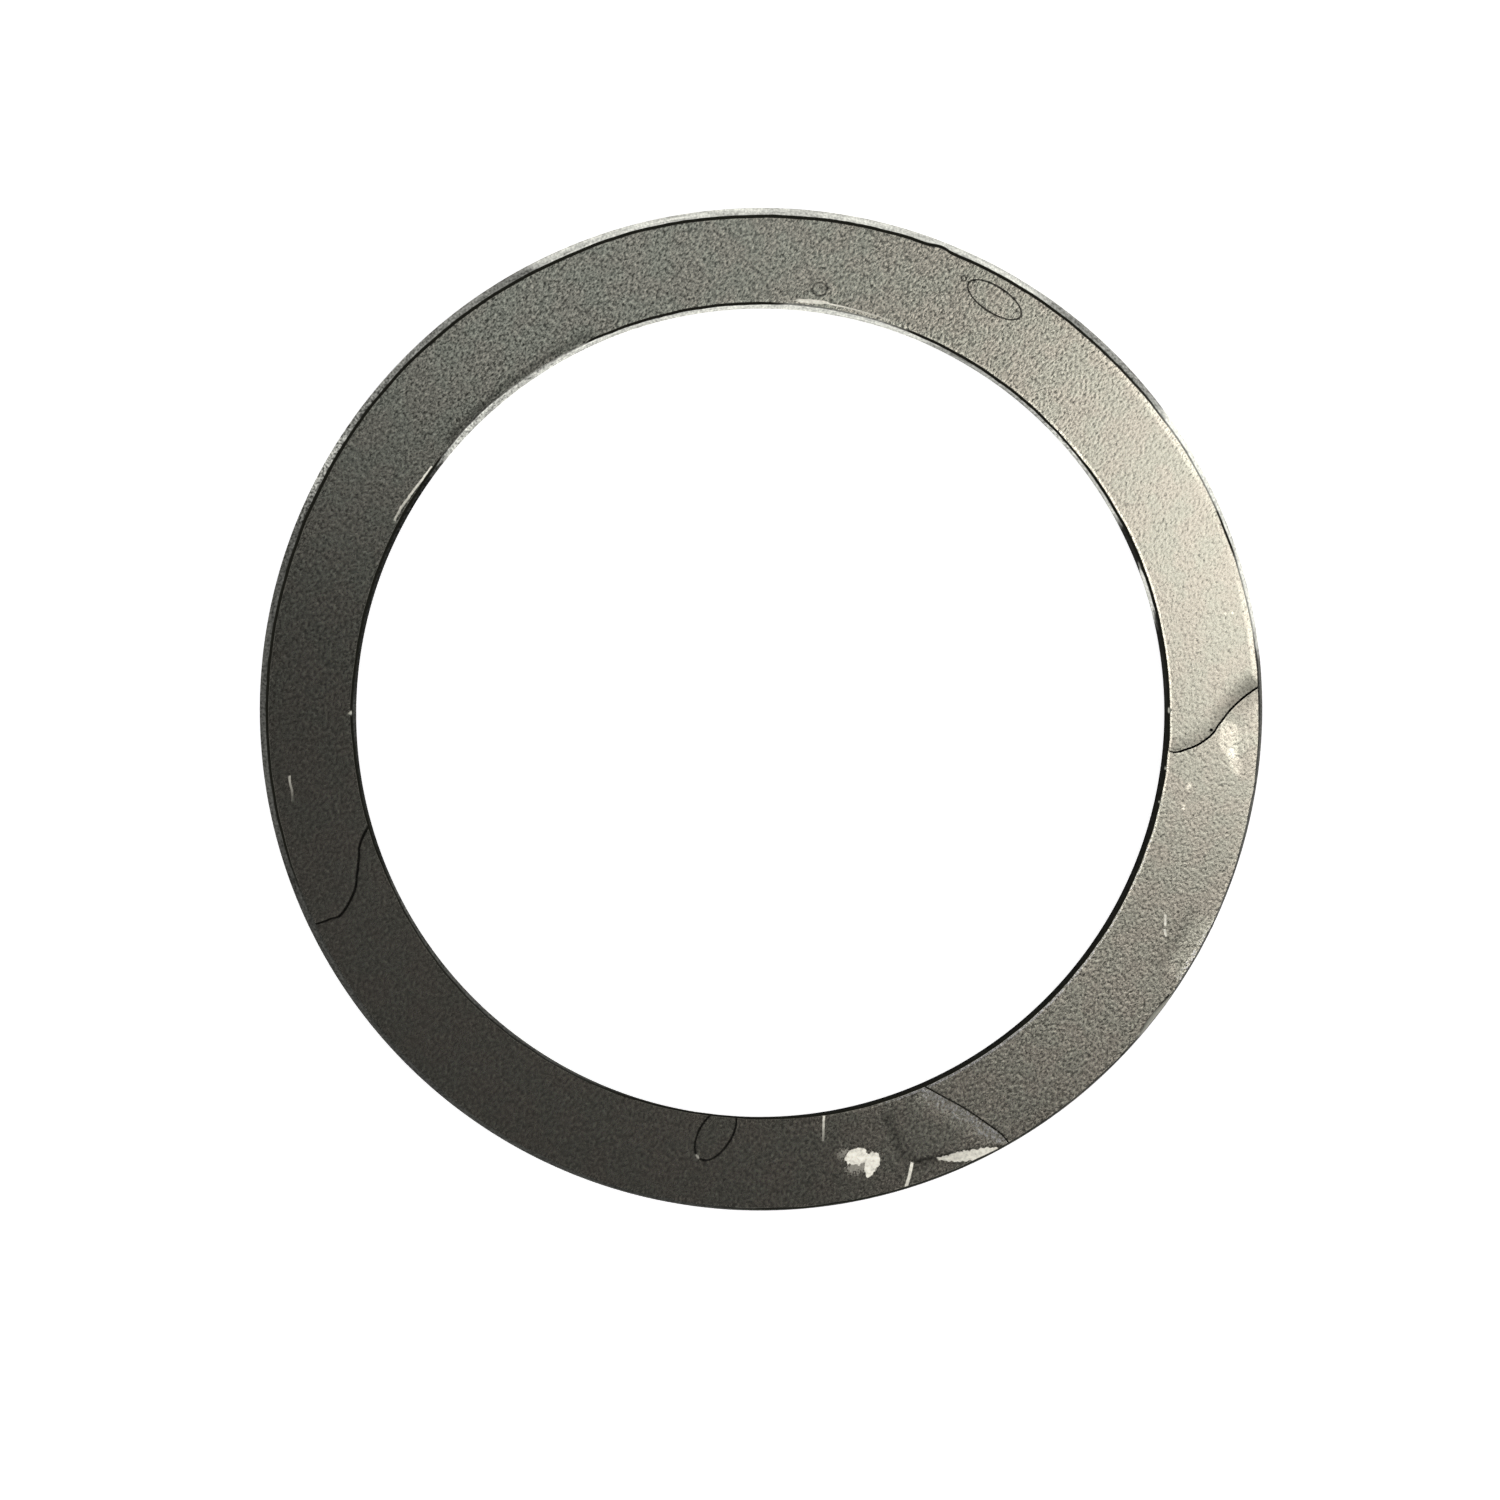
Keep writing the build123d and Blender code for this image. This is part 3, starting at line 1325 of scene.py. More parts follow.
SCRATCHES_AND_PAINTED_GLINTS = (
    # The painted glint at the lower right, a sliver which runs out at the rim
    Stroke(
        (10.80, -27.80), (15.25, -27.2), bow=((0.35, -0.06), (0.6, -0.05)),
        half_width=0.31, soft=0.05, lens=1.0, ragged=0.5, levels=(0.8, 1.0), pale=0.95, left=(0.6, 0.3),
    ),
    # Thin painted glints on both sides of the two-lobed painted glint
    Stroke((3.86, -24.62), (3.78, -26.67), half_width=0.05, ragged=0.07, levels=(1.0, 0.3), pale=1.0),
    Stroke(
        (9.30, -28.0), (8.74, -30.06), bow=((0.4, 0.05),),
        half_width=0.07, soft=0.05, ragged=0.08, levels=(0.95, 0.7), pale=1.0,
    ),
    # A short painted glint near the rim at the left, and a faint dark scratch near the bore at the right
    Stroke(
        (-29.10, -4.0), (-28.95, -5.6), bow=((0.3, -0.02), (0.6, 0.05), (0.92, 0.02)),
        half_width=0.045, soft=0.05, ragged=0.06, levels=(0.75, 0.2), pale=0.7,
    ),
    Stroke((22.19, 12.54), (23.95, 12.72), half_width=0.03, levels=(1.0, 0.6), tone=0.75),
    # A painted highlight along a hairline beside the bore's upper left corner, with painted shade between
    # them
    Stroke(
        (-20.30, 15.02), (-22.62, 11.68), bow=((0.37, -0.09), (0.59, -0.12), (0.85, -0.11)),
        half_width=0.055, soft=0.035, ragged=0.14, levels=(1.0, 0.6), pale=1.0, left=(0.35, 0.3),
    ),
    # The thin end of the painted reflection at the top
    Stroke(
        (3.9, 25.07), (7.9, 24.0), bow=((0.5, 0.08),),
        half_width=0.03, soft=0.03, levels=(1.0, 0.5), pale=0.95,
    ),
    # A lighter patch near the rim at the lower right, darker on its right
    Stroke(
        (27.9, -13.0), (25.6, -16.6),
        half_width=0.45, soft=0.8, ragged=0.5, tone=1.85, right=(0.66, 2.4),
    ),
    # A dark line along the border of the nick in the rim
    Stroke((25.20, -17.66), (23.25, -20.05), half_width=0.045, soft=0.03, levels=(1.0, 0.4), tone=0.12),
    # Two small painted glints inside the lighter patch
    Stroke((24.96, -12.7), (24.96, -13.4), half_width=0.05, ragged=0.05, pale=0.9),
    Stroke((24.90, -13.6), (25.02, -14.05), half_width=0.05, ragged=0.05, pale=0.9),
)


# -------------------- Finishes --------------------


@dataclass(frozen=True)
class Steel:
    """The steel and what lies on it, the same in every finish.

    Attributes:
        warm: its colour where it is warmest.
        cool: its colour where it is coolest.
        drift_swing: how far the grain's drift swings from the coolest to the warmest.
        roughness: how matt it is.
        grain_roughness: how much the grain changes that.
        grain_swing: how much the grain changes the colour.
        grain_height: how deep the grain is.
        darkest: the least factor that any unevenness leaves of a colour.
        painted_shade: the black of the painted shade along the upper corners.
        painted_glint: the pale colour of the painted glints, highlights and reflections on the face.
        painted_roughness: how matt the painted corner shade and the painted glints are.
        bright: the cut metal of the walls.
        fresh: the bare metal of a nick.
        rim_fresh: the factor on that at the rim.
    """

    warm: Colour = (0.430, 0.407, 0.352)
    cool: Colour = (0.413, 0.409, 0.352)
    drift_swing: float = 0.12
    roughness: float = 0.258
    grain_roughness: float = 0.4
    grain_swing: float = 6.0
    grain_height: float = 0.010 * MM
    darkest: float = 0.2
    painted_shade: Colour = (0.013, 0.013, 0.010)
    painted_glint: Colour = (0.98, 0.945, 0.83)
    painted_roughness: float = 0.6
    bright: Colour = (0.63, 0.63, 0.575)
    fresh: Colour = (0.72, 0.71, 0.61)
    rim_fresh: float = 0.66


STEEL = Steel()


@dataclass(frozen=True)
class Finish:
    """One finish of the ring. A kind of finish says how it dresses the plain steel.

    Attributes:
        name: the material's name.
        effects: the shared node groups.
        steel: the steel's values.
        gloss: the specular level of what isn't bare metal: the painted corner shade, the painted glints and
            the walls' dark painted shade have none.
    """

    name: str
    effects: Effects
    steel: Steel = STEEL
    gloss: float = 0.0

    def open(self) -> tuple[bpy.types.Material, Wiring, bpy.types.Node, Socket]:
        """Makes the material.

        Returns:
            The material, its wiring, its shader, and the place on the ring in millimetres.
        """
        material = bpy.data.materials.new(self.name)
        material.use_nodes = True
        wiring = Wiring(material.node_tree)
        shader = material.node_tree.nodes["Principled BSDF"]
        shader.inputs["Specular IOR Level"].default_value = self.gloss
        place = wiring.scaled(wiring.add("TexCoord").outputs["Object"], 1 / MM)
        return material, wiring, shader, place

    def steel_colour(self, wiring: Wiring, grain: bpy.types.Node, show: Value) -> Socket:
        """Works out the grained steel's colour.

        Args:
            wiring: the material's wiring.
            grain: the rolled grain's node.
            show: how clearly the grain shows, from 0 to 1.

        Returns:
            The colour.
        """
        swing = self.steel.drift_swing
        drift = wiring.ramp(grain.outputs["Drift"], -swing, swing)
        tint = wiring.mix_colour(drift, self.steel.cool, self.steel.warm)
        tone = wiring.product(grain.outputs["Tone"], self.steel.grain_swing)
        swung = wiring.math("MULTIPLY_ADD", tone, show, 1.0)
        return wiring.scaled(tint, wiring.math("MAXIMUM", swung, self.steel.darkest))

    def steel_roughness(self, wiring: Wiring, grain: bpy.types.Node) -> Socket:
        """Works out how matt the grained steel is, from the rolled grain's node."""
        tone = grain.outputs["Tone"]
        return wiring.math("MULTIPLY_ADD", tone, self.steel.grain_roughness, self.steel.roughness)

    def steel_normal(self, wiring: Wiring, grain: bpy.types.Node) -> Socket:
        """Works out the grained steel's normal, from the rolled grain's node."""
        return self.bump(wiring, grain.outputs["Height"], self.steel.grain_height)

    def fresh_colour(self, wiring: Wiring, on_rim: Socket, mottle: Value = 1.0) -> Socket:
        """Works out the colour of a nick's bare metal.

        Args:
            wiring: the material's wiring.
            on_rim: 1 at the rim and 0 at the bore.
            mottle: the factor of the mottle on it.

        Returns:
            The colour.
        """
        factor = wiring.product(wiring.mix(on_rim, 1.0, self.steel.rim_fresh), mottle)
        return wiring.scaled(self.steel.fresh, factor)

    def bump(self, wiring: Wiring, height: Socket, distance: float) -> Socket:
        """Turns a height into a normal.

        Args:
            wiring: the material's wiring.
            height: the height.
            distance: the length of one unit of height.

        Returns:
            The normal.
        """
        node = wiring.add("Bump")
        node.inputs["Distance"].default_value = distance
        wiring.feed(node.inputs["Height"], height)
        return node.outputs["Normal"]


@dataclass(frozen=True)
class UpperFace(Finish):
    """The matt upper face with its oil lines, drops, specks and scratches, and its painted glints,
    highlights, light and shade.

    The painted highlight is the brighter steel just beside each corner. Where it has a pair of lengths, in
    mm, the first is for the bore and the second for the rim.

    Attributes:
        rim_painted_highlight: how strong the painted highlight is just inside the rim round the ring.
        bore_painted_highlight: how strong the painted highlight is just beside the bore round the ring.
        full_painted_highlight: the factor on the steel's colour where the painted highlight is 1.
        painted_highlight_reach: how far the painted highlight reaches from the corner's crest.
        painted_highlight_soft: how far it fades out beyond that.
        grain_show: how clearly the grain shows round the ring, clearest where little oil is left.
        painted_light_and_shade: the painted light and shade on the steel round the ring.
        painted_light_and_shade_scale: the factor on the steel's colour where that painted light is 1.
        mottle_pitch: how many specks of mottle lie in a millimetre.
        mottle_swing: how much the mottle changes the colour of the painted glints and the nicks.
        mottle_level: the mottle's usual factor.
        marks_from: the point that the marks are measured from, in mm.
    """

    rim_painted_highlight: Stops = (
        (0, 0.1), (4, 0.15), (7, 0.42), (13, 0.3), (17, 0.1), (26, 0.15), (31, 0.42), (38, 0.42),
        (45, 0.15), (50, 0.0), (315, 0.0), (335, 0.12), (360, 0.1),
    )
    bore_painted_highlight: Stops = (
        (0, 0.6), (20, 0.75), (40, 0.75), (52, 0.3), (90, 0.3), (105, 0.1), (120, 0.0), (276, 0.0),
        (284, 0.6), (292, 1.0), (340, 1.0), (352, 0.6), (360, 0.6),
    )
    full_painted_highlight: float = 2.2
    painted_highlight_reach: Pair = (0.24, 0.28)
    painted_highlight_soft: Pair = (0.05, 0.22)
    grain_show: Stops = (
        (0, 0.6), (36, 0.62), (50, 0.82), (70, 0.87), (90, 0.79), (112, 0.98), (132, 1.0),
        (150, 0.55), (165, 0.32), (185, 0.14), (220, 0.08), (265, 0.09), (300, 0.36), (320, 0.52),
        (335, 0.52), (360, 0.62),
    )
    painted_light_and_shade: Stops = (
        (0, 0.71), (45, 0.71), (58, 0.67), (85, 0.68), (100, 0.655), (116, 0.67), (126, 0.71),
        (150, 0.70), (160, 0.68), (170, 0.64), (182, 0.68), (195, 0.77), (205, 0.81), (235, 0.78),
        (262, 0.76), (276, 0.74), (284, 0.86), (291, 0.97), (298, 0.98), (306, 1.04), (312, 1.08),
        (322, 0.95), (331, 0.79), (342, 0.73), (360, 0.71),
    )
    painted_light_and_shade_scale: float = 1.4
    mottle_pitch: float = 4.5
    mottle_swing: float = 1.3
    mottle_level: float = 1.02
    marks_from: Point = (-0.067, 0.067)

    def coated(self, wiring: Wiring, place: Socket, share: Socket) -> Coat:
        """Lays every mark on the steel, which starts with the painted light and shade round the ring.

        Args:
            wiring: the material's wiring.
            place: the place on the ring, in millimetres.
            share: the angle as a share of a full turn.

        Returns:
            The coat.
        """
        from_marks = wiring.add("VectorMath", operation="SUBTRACT")
        wiring.feed(from_marks.inputs[0], place)
        wiring.feed(from_marks.inputs[1], (*self.marks_from, 0.0))
        coat = Coat(wiring, self.effects, from_marks.outputs[0])
        # Painted light and shade round the ring
        coat.tone = wiring.product(wiring.around(share, self.painted_light_and_shade), self.painted_light_and_shade_scale)
        for mark in OIL_LINES_AND_PAINTED_LIGHT + DROPS + SPECKS + PAINTED_GLINTS + SCRATCHES_AND_PAINTED_GLINTS:
            mark.lay(coat)
        return coat

    def add_painted_highlight(self, coat: Coat, distance: Socket, share: Socket, on_rim: Socket) -> None:
        """Paints a highlight on the steel just beside both corners.

        Args:
            coat: the coat.
            distance: the distance from the corner's crest, negative on the face.
            share: the angle as a share of a full turn.
            on_rim: 1 on the rim's half of the face and 0 on the bore's.
        """
        wiring = coat.wiring
        bore_painted_highlight = wiring.around(share, self.bore_painted_highlight)
        rim_painted_highlight = wiring.around(share, self.rim_painted_highlight)
        near = wiring.place(
            self.effects.band,
            Distance=distance,
            Low=wiring.mix(on_rim, *(-reach for reach in self.painted_highlight_reach)),
            High=0.0,
            Soft=wiring.mix(on_rim, *self.painted_highlight_soft),
        )
        painted_highlight = wiring.mix(on_rim, bore_painted_highlight, rim_painted_highlight)
        coat.shade(wiring.product(near.outputs["Mask"], painted_highlight), self.full_painted_highlight)

    def build(self) -> bpy.types.Material:
        """Wires the finish.

        Returns:
            The material.
        """
        material, wiring, shader, place = self.open()
        grain = wiring.place(self.effects.grain, Place=place)
        bearing = wiring.place(self.effects.bearing, Place=place).outputs
        share, on_rim = bearing["Turn Share"], bearing["On Rim"]
        distance, nick = wiring.attribute("edge_mm"), wiring.attribute("nick")

        coat = self.coated(wiring, place, share)
        # Painted highlight beside both corners
        self.add_painted_highlight(coat, distance, share, on_rim)
        colour = self.steel_colour(wiring, grain, wiring.around(share, self.grain_show))
        steel = wiring.scaled(colour, coat.tone)
        # Painted glints, in a pale mottled colour
        noise = wiring.noise(place, self.mottle_pitch, detail=3.0)
        mottle = wiring.math("MULTIPLY_ADD", noise, self.mottle_swing, self.mottle_level)
        with_painted_glint = wiring.mix_colour(coat.pale, steel, wiring.scaled(self.steel.painted_glint, mottle))
        nicked = wiring.mix_colour(nick, with_painted_glint, self.fresh_colour(wiring, on_rim, mottle))
        # Painted shade along both upper corners
        corner = wiring.place(self.effects.painted_corner_shade, Place=place, Distance=distance)
        painted_shade = corner.outputs["Mask"]
        wiring.feed(shader.inputs["Base Color"], wiring.mix_colour(painted_shade, nicked, self.steel.painted_shade))

        bare = wiring.one_less(wiring.math("MAXIMUM", coat.pale, painted_shade))
        rough = wiring.mix(bare, self.steel.painted_roughness, self.steel_roughness(wiring, grain))
        wiring.feed(shader.inputs["Metallic"], bare)
        wiring.feed(shader.inputs["Roughness"], rough)
        wiring.feed(shader.inputs["Normal"], self.steel_normal(wiring, grain))
        return material


@dataclass(frozen=True)
class WallFinish(Finish):
    """The sheared walls: a burnished land below a torn fracture, with painted reflection and painted shade
    by turns.

    Three noises make a wall uneven: streaks up the wall, lines along it, and patches.

    Attributes:
        rim_painted_reflection_and_shade: how bright the rim's wall is painted round the ring: painted
            reflection where bright, painted shade where dark.
        bore_painted_reflection_and_shade: how bright the bore's wall is painted round the ring: painted
            reflection where bright, painted shade where dark.
        brightest: the most that the unevenness makes of that.
        mottled: how coarsely the wall is torn round the ring.
        streaks: the streaks' pitch, how much they are drawn out upwards, and their swing.
        lines: the lines' pitch, how much they are drawn out along the wall, and their swing.
        patches: the patches' pitch and their swing.
        grain_pitch: the grain's pitch.
        relief: how deep the streaks and the grain are.
        land_ends: the heights between which the land gives way to the fracture, in mm.
        land_wander: how far that place wanders with the patches, in mm.
        land_tone: the factor on the land's colour.
        bared: the tones between which the dark painted shade, drawn as no metal, gives way to bare metal.
        roughness: how matt the fracture and the land are.
        facet_soft: half of the width over which a nick's facet ends at the crest, in mm.
    """

    rim_painted_reflection_and_shade: Stops = (
        (0, 0.2), (6.5, 0.25), (8, 1.2), (35, 1.35), (37.5, 0.5), (53, 0.4), (57, 0.95), (115, 0.9),
        (118, 0.34), (145, 0.32), (148, 0.55), (153, 0.5), (157, 0.15), (182, 0.13), (188, 0.13),
        (200, 0.09), (265, 0.09), (275, 0.06), (300, 0.2), (360, 0.2),
    )
    bore_painted_reflection_and_shade: Stops = (
        (0, 0.03), (12.5, 0.03), (14, 1.0), (19.5, 1.0), (21, 0.03), (27.5, 0.03), (29, 0.85),
        (43, 0.85), (47, 0.52), (63, 0.52), (67, 1.05), (75, 1.05), (79, 1.0), (88, 1.05),
        (113, 1.0), (118, 0.9), (140, 0.75), (144, 0.03), (177, 0.04), (181, 0.1), (187, 0.04),
        (203, 0.04), (207, 0.13), (244, 0.12), (248, 0.05), (262, 0.05), (275, 0.02), (360, 0.02),
    )
    brightest: float = 1.5
    mottled: Stops = (
        (0, 0.3), (36, 0.35), (42, 0.6), (56, 0.3), (115, 0.35), (142, 0.8), (146, 1.0), (157, 1.0),
        (165, 0.6), (360, 0.4),
    )
    streaks: tuple[float, float, float] = (7.0, 0.12, 5.5)
    lines: tuple[float, float, float] = (2.4, 0.1, 1.2)
    patches: Pair = (1.1, 0.7)
    grain_pitch: float = 7.0
    relief: float = 0.008 * MM
    land_ends: Pair = (0.66, 0.76)
    land_wander: float = 0.3
    land_tone: float = 0.66
    bared: Pair = (0.3, 0.75)
    roughness: Pair = (0.5, 0.26)
    facet_soft: float = 0.02

    def build(self) -> bpy.types.Material:
        """Wires the finish.

        Returns:
            The material.
        """
        material, wiring, shader, place = self.open()
        grain = wiring.place(self.effects.grain, Place=place, Pitch=self.grain_pitch, Draw=1.0)
        bearing = wiring.place(self.effects.bearing, Place=place).outputs
        share, on_rim = bearing["Turn Share"], bearing["On Rim"]
        distance, nick = wiring.attribute("edge_mm"), wiring.attribute("nick")
        x, y, z = wiring.parts(place)

        pitch, squeeze, streak_swing = self.streaks
        drawn_up = wiring.joined(x, y, wiring.product(z, squeeze))
        streaks = wiring.noise(drawn_up, pitch, detail=3.0)
        pitch, squeeze, line_swing = self.lines
        drawn_along = wiring.joined(wiring.product(x, squeeze), wiring.product(y, squeeze), z)
        lines = wiring.noise(drawn_along, pitch)
        pitch, patch_swing = self.patches
        patches = wiring.noise(place, pitch, detail=3.0)
        torn_by = wiring.product(streaks, wiring.around(share, self.mottled), streak_swing)
        line_by, patch_by = wiring.product(lines, line_swing), wiring.product(patches, patch_swing)
        uneven = wiring.math("MAXIMUM", wiring.sum(1.0, torn_by, line_by, patch_by), self.steel.darkest)

        # The walls' painted reflection and painted shade round the ring
        bore_painted_reflection_and_shade, rim_painted_reflection_and_shade = wiring.around(share, self.bore_painted_reflection_and_shade), wiring.around(share, self.rim_painted_reflection_and_shade)
        tone = wiring.product(wiring.mix(on_rim, bore_painted_reflection_and_shade, rim_painted_reflection_and_shade), uneven)
        level = wiring.sum(z, wiring.product(patches, self.land_wander))
        land = wiring.ramp(level, *self.land_ends, 1.0, 0.0)
        tone = wiring.mix(land, tone, wiring.product(tone, self.land_tone))
        torn = wiring.one_less(land)

        on_facet = wiring.ramp(distance, -self.facet_soft, self.facet_soft, 1.0, 0.0)
        facet = wiring.product(nick, on_facet)
        # Painted shade along both upper corners, off the nicks' facets
        corner = wiring.place(self.effects.painted_corner_shade, Place=place, Distance=distance)
        painted_shade = wiring.product(corner.outputs["Mask"], wiring.one_less(facet))
        cut = wiring.scaled(self.steel.bright, wiring.math("MINIMUM", tone, self.brightest))
        faceted = wiring.mix_colour(facet, cut, self.fresh_colour(wiring, on_rim))
        wiring.feed(shader.inputs["Base Color"], wiring.mix_colour(painted_shade, faceted, self.steel.painted_shade))

        bared = wiring.product(wiring.ramp(tone, *self.bared), torn)
        bare = wiring.product(wiring.math("MAXIMUM", bared, facet), wiring.one_less(painted_shade))
        wiring.feed(shader.inputs["Metallic"], bare)
        wiring.feed(shader.inputs["Roughness"], wiring.mix(land, *self.roughness))
        height = wiring.sum(wiring.product(grain.outputs["Height"], torn), streaks)
        wiring.feed(shader.inputs["Normal"], self.bump(wiring, height, self.relief))
        return material


@dataclass(frozen=True)
class LowerFace(Finish):
    """The lower face, with the same grain, rubbed a little where it lay on other rings.

    Attributes:
        grain_show: how clearly the grain shows.
        rub_pitch: how many rubbed places there are in a millimetre.
        rubbed_from: the noise's values between which the steel goes from plain to rubbed.
        rub_tones: the factors on the colour of the plain and the rubbed steel.
        rub_gloss: how much less matt the rubbed steel is.
    """

    grain_show: float = 0.3
    rub_pitch: float = 0.35
    rubbed_from: Pair = (0.02, 0.12)
    rub_tones: Pair = (0.92, 1.1)
    rub_gloss: float = 0.04

    def build(self) -> bpy.types.Material:
        """Wires the finish.

        Returns:
            The material.
        """
        material, wiring, shader, place = self.open()
        grain = wiring.place(self.effects.grain, Place=place)
        rubbed = wiring.ramp(wiring.noise(place, self.rub_pitch, detail=4.0), *self.rubbed_from)
        colour = self.steel_colour(wiring, grain, self.grain_show)
        tone = wiring.mix(rubbed, *self.rub_tones)
        rough = self.steel_roughness(wiring, grain)
        wiring.feed(shader.inputs["Base Color"], wiring.scaled(colour, tone))
        shader.inputs["Metallic"].default_value = 1.0
        rough = wiring.math("MULTIPLY_ADD", rubbed, -self.rub_gloss, rough)
        wiring.feed(shader.inputs["Roughness"], rough)
        wiring.feed(shader.inputs["Normal"], self.steel_normal(wiring, grain))
        return material


# -------------------- Studio --------------------


@dataclass(frozen=True)
class Lamp:
    """A square soft lamp that faces the ring's centre.

    Attributes:
        name: the lamp's name.
        azimuth: its direction in degrees.
        polar: its angle from straight overhead, in degrees.
        distance: how far it stands from the ring's centre.
        side: the length of its side.
        radiance: how bright its face is, where 1 is white.
        colour: its tint.
        mirrored: whether it shows in the metal.
    """

    name: str
    azimuth: float
    polar: float
    distance: float
    side: float
    radiance: float
    colour: Colour = (1.0, 1.0, 1.0)
    mirrored: bool = True

    def build(self) -> bpy.types.Object:
        """Hangs the lamp.

        Returns:
            The lamp's object.
        """
        light = bpy.data.lights.new(self.name, "AREA")
        light.shape = "SQUARE"
        light.size = self.side
        light.energy = self.radiance * math.pi * self.side**2
        light.color = self.colour
        lamp = bpy.data.objects.new(self.name, light)
        azimuth, polar = math.radians(self.azimuth), math.radians(self.polar)
        level = math.sin(polar)
        out = Vector((level * math.cos(azimuth), level * math.sin(azimuth), math.cos(polar)))
        lamp.location = out * self.distance
        lamp.rotation_euler = out.to_track_quat("Z", "Y").to_euler()
        lamp.visible_camera = False
        lamp.visible_glossy = self.mirrored
        bpy.context.scene.collection.objects.link(lamp)
        return lamp


KEY = Lamp(
    "key", azimuth=9, polar=17.6, distance=0.172, side=0.043, radiance=3.7, colour=(1.0, 0.97, 0.93)
)
FILL = Lamp(
    "fill", azimuth=102, polar=22.5, distance=0.11, side=0.05, radiance=0.54, colour=(0.925, 1.0, 1.0)
)
LOW_LAMPS = tuple(
    Lamp(f"low {azimuth}", azimuth, polar=68, distance=0.25, side=0.15, radiance=3.0, mirrored=False)
    for azimuth in (45, 135, 225, 315)
)


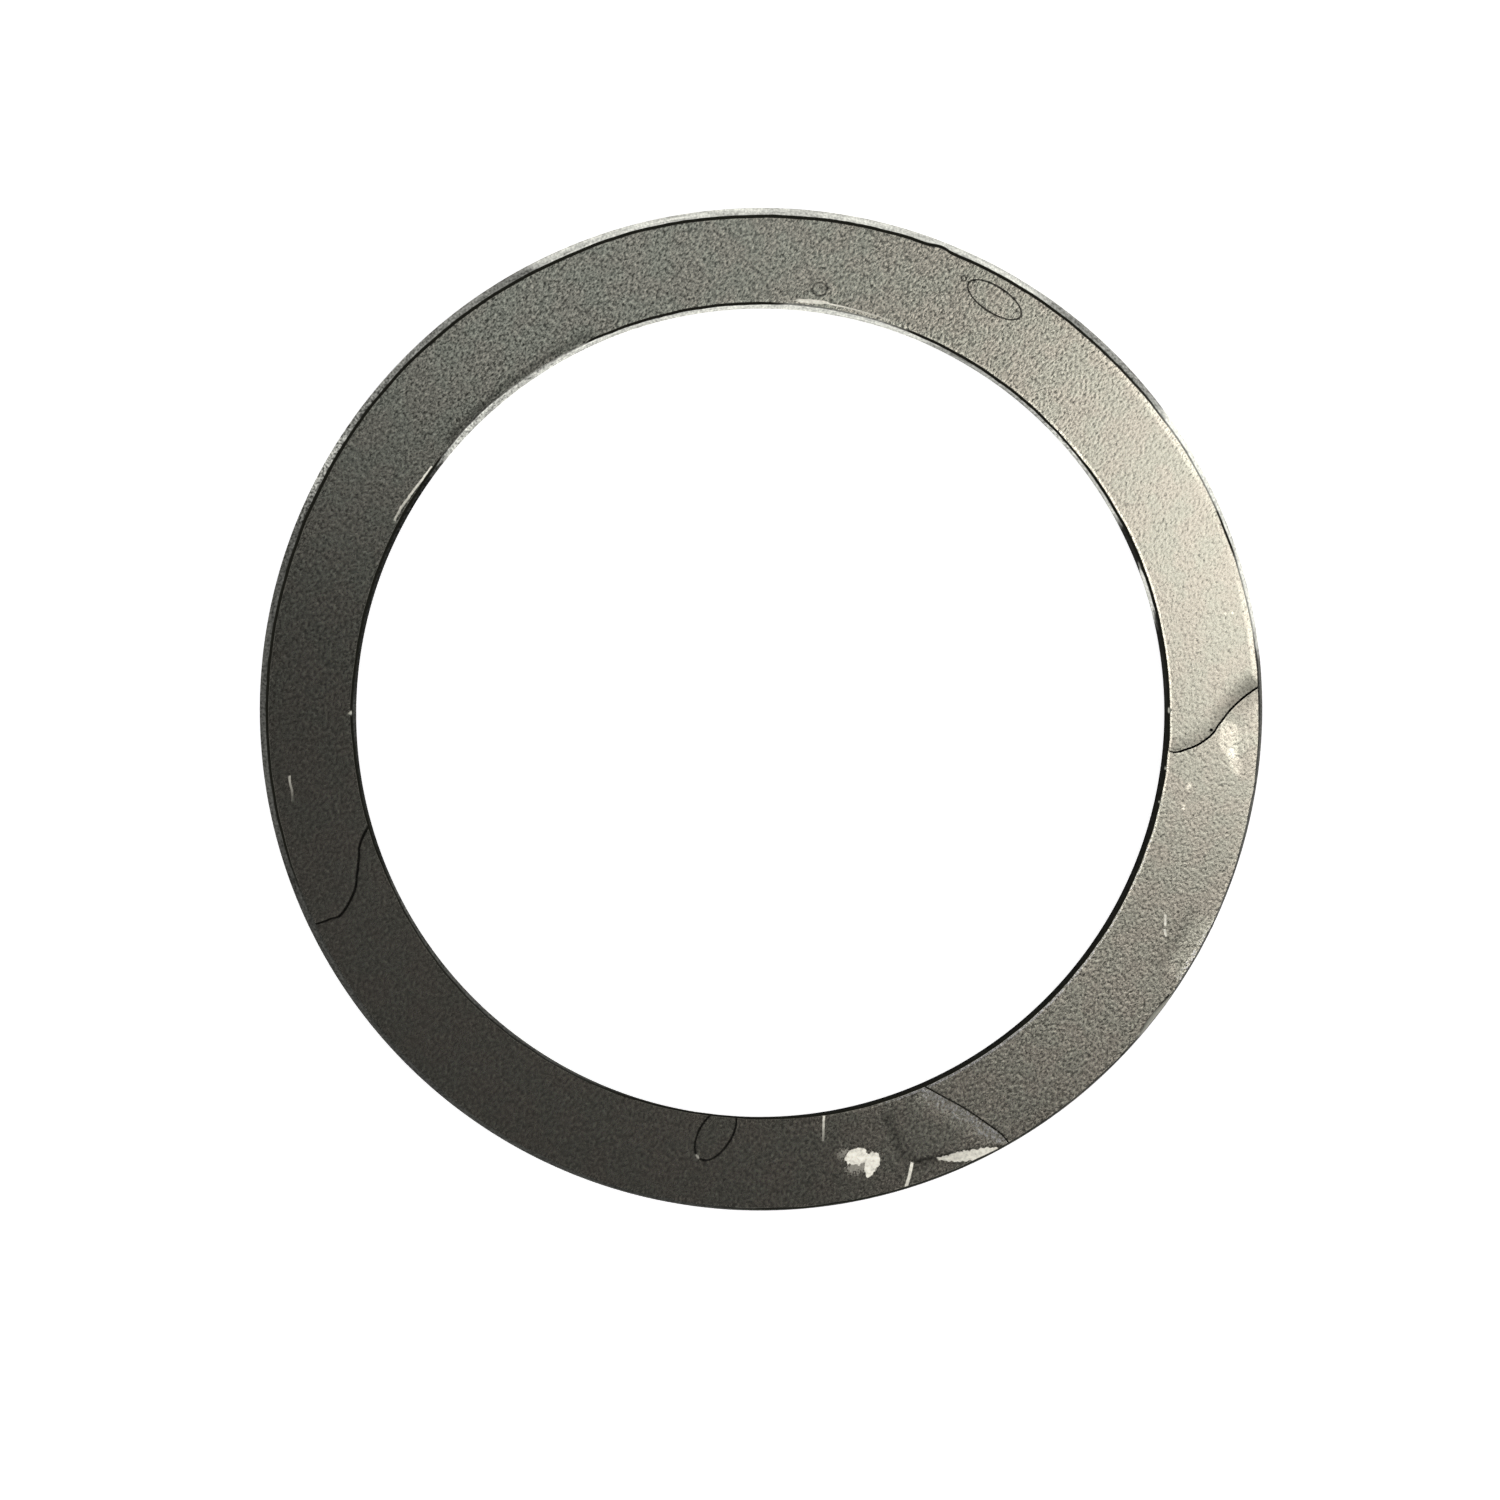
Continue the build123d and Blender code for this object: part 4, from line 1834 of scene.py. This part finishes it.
@dataclass(frozen=True)
class Studio:
    """The pale floor, the soft lamps, the surroundings and the camera.

    Attributes:
        sizes: the ring's sizes.
        lamps: the lamps.
        floor_half: half of the floor's side.
        floor_colour: how light the floor is.
        floor_roughness: how matt the floor is.
        floor_glow: how strongly the floor shows white to the camera and in the metal.
        view_width: the width of the view at the ring.
        view_centre: the point that the view is centred on.
        lens_mm: the camera's focal length.
        sensor_mm: the width of its sensor.
        clip: how near and how far it sees.
        tilt: how far the view leans from straight down, in degrees.
        tilt_azimuth: the direction it leans towards, in degrees.
        overhead: how bright the surroundings are overhead.
        horizon: the elevations between which the white horizon ends, in degrees.
    """

    sizes: RingSizes
    lamps: tuple[Lamp, ...] = (KEY, FILL) + LOW_LAMPS
    floor_half: float = 1.5
    floor_colour: float = 0.8
    floor_roughness: float = 0.9
    floor_glow: float = 0.7
    view_width: float = 0.09264
    view_centre: Point = (-0.000756, -0.00245)
    lens_mm: float = 270.0
    sensor_mm: float = 36.0
    clip: Pair = (0.01, 10.0)
    tilt: float = 3.5
    tilt_azimuth: float = 135.0
    overhead: Colour = (0.0500, 0.0488, 0.0490)
    horizon: Pair = (20.0, 34.0)

    def hang_lamps(self) -> None:
        """Hangs every lamp."""
        for lamp in self.lamps:
            lamp.build()

    def surround(self) -> None:
        """Makes the surroundings: white round the horizon and dark overhead."""
        world = bpy.data.worlds.new("surroundings")
        bpy.context.scene.world = world
        world.use_nodes = True
        wiring = Wiring(world.node_tree)
        _, _, up = wiring.parts(wiring.add("TexCoord").outputs["Generated"])
        low, high = (math.sin(math.radians(elevation)) for elevation in self.horizon)
        colour = wiring.mix_colour(wiring.ramp(up, low, high), (1.0, 1.0, 1.0), self.overhead)
        wiring.feed(world.node_tree.nodes["Background"].inputs["Color"], colour)

    def lay_floor(self) -> None:
        """Lays a pale floor just under the ring, which keeps its shadow but shows as white."""
        half = self.floor_half
        mesh = bpy.data.meshes.new("floor")
        corners = [(-half, -half, 0), (half, -half, 0), (half, half, 0), (-half, half, 0)]
        mesh.from_pydata(corners, [], [(0, 1, 2, 3)])
        floor = bpy.data.objects.new("floor", mesh)
        bpy.context.scene.collection.objects.link(floor)
        material = bpy.data.materials.new("pale floor")
        material.use_nodes = True
        wiring = Wiring(material.node_tree)
        shader = material.node_tree.nodes["Principled BSDF"]
        shader.inputs["Base Color"].default_value = (*(self.floor_colour,) * 3, 1.0)
        shader.inputs["Roughness"].default_value = self.floor_roughness
        shader.inputs["Specular IOR Level"].default_value = 0.0
        shader.inputs["Emission Color"].default_value = (1.0, 1.0, 1.0, 1.0)
        path = wiring.add("LightPath").outputs
        shows = wiring.math("MAXIMUM", path["Is Camera Ray"], path["Is Glossy Ray"])
        shows = wiring.math("MAXIMUM", shows, path["Is Transmission Ray"])
        wiring.feed(shader.inputs["Emission Strength"], wiring.product(shows, self.floor_glow))
        mesh.materials.append(material)

    def aim_camera(self) -> None:
        """Sets the camera nearly straight above the ring, leaning a little to one side."""
        data = bpy.data.cameras.new("camera")
        data.lens = self.lens_mm
        data.sensor_width = self.sensor_mm
        data.clip_start, data.clip_end = self.clip
        distance = self.view_width * data.lens / data.sensor_width
        target = Vector((*self.view_centre, self.sizes.thickness / 2))
        tilt, azimuth = math.radians(self.tilt), math.radians(self.tilt_azimuth)
        level = math.sin(tilt)
        out = Vector((level * math.cos(azimuth), level * math.sin(azimuth), math.cos(tilt)))
        right = Vector((0, 1, 0)).cross(out).normalized()
        up = out.cross(right)
        camera = bpy.data.objects.new("camera", data)
        turn = Matrix((right, up, out)).transposed()
        camera.matrix_world = Matrix.Translation(target + out * distance) @ turn.to_4x4()
        bpy.context.scene.collection.objects.link(camera)
        bpy.context.scene.camera = camera

    def build(self) -> None:
        """Builds the whole studio."""
        self.hang_lamps()
        self.surround()
        self.lay_floor()
        self.aim_camera()
        bpy.context.scene.view_settings.view_transform = "Standard"


def dress_ring(sizes: RingSizes) -> bpy.types.Object:
    """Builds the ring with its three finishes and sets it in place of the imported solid.

    Args:
        sizes: the ring's sizes.

    Returns:
        The ring's object.
    """
    ring = ShimRing(sizes).build()
    effects = Effects()
    finishes = {
        Skin.UPPER_FACE: UpperFace("upper face", effects),
        Skin.SHEARED_WALL: WallFinish("sheared wall", effects),
        Skin.LOWER_FACE: LowerFace("lower face", effects),
    }
    for skin in Skin:
        ring.data.materials.append(finishes[skin].build())
    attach(ring, BODY)
    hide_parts(NODE)
    return ring


def main() -> None:
    """Builds the ring and its studio."""
    logging.basicConfig(level=logging.INFO, format="%(name)s: %(message)s")
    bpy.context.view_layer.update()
    sizes = RingSizes.from_frame()
    LOG.info("sizes: %s", sizes)

    ring = dress_ring(sizes)
    LOG.info("%s: %d faces", ring.name, len(ring.data.polygons))
    Studio(sizes).build()


if __name__ == "__main__":
    main()
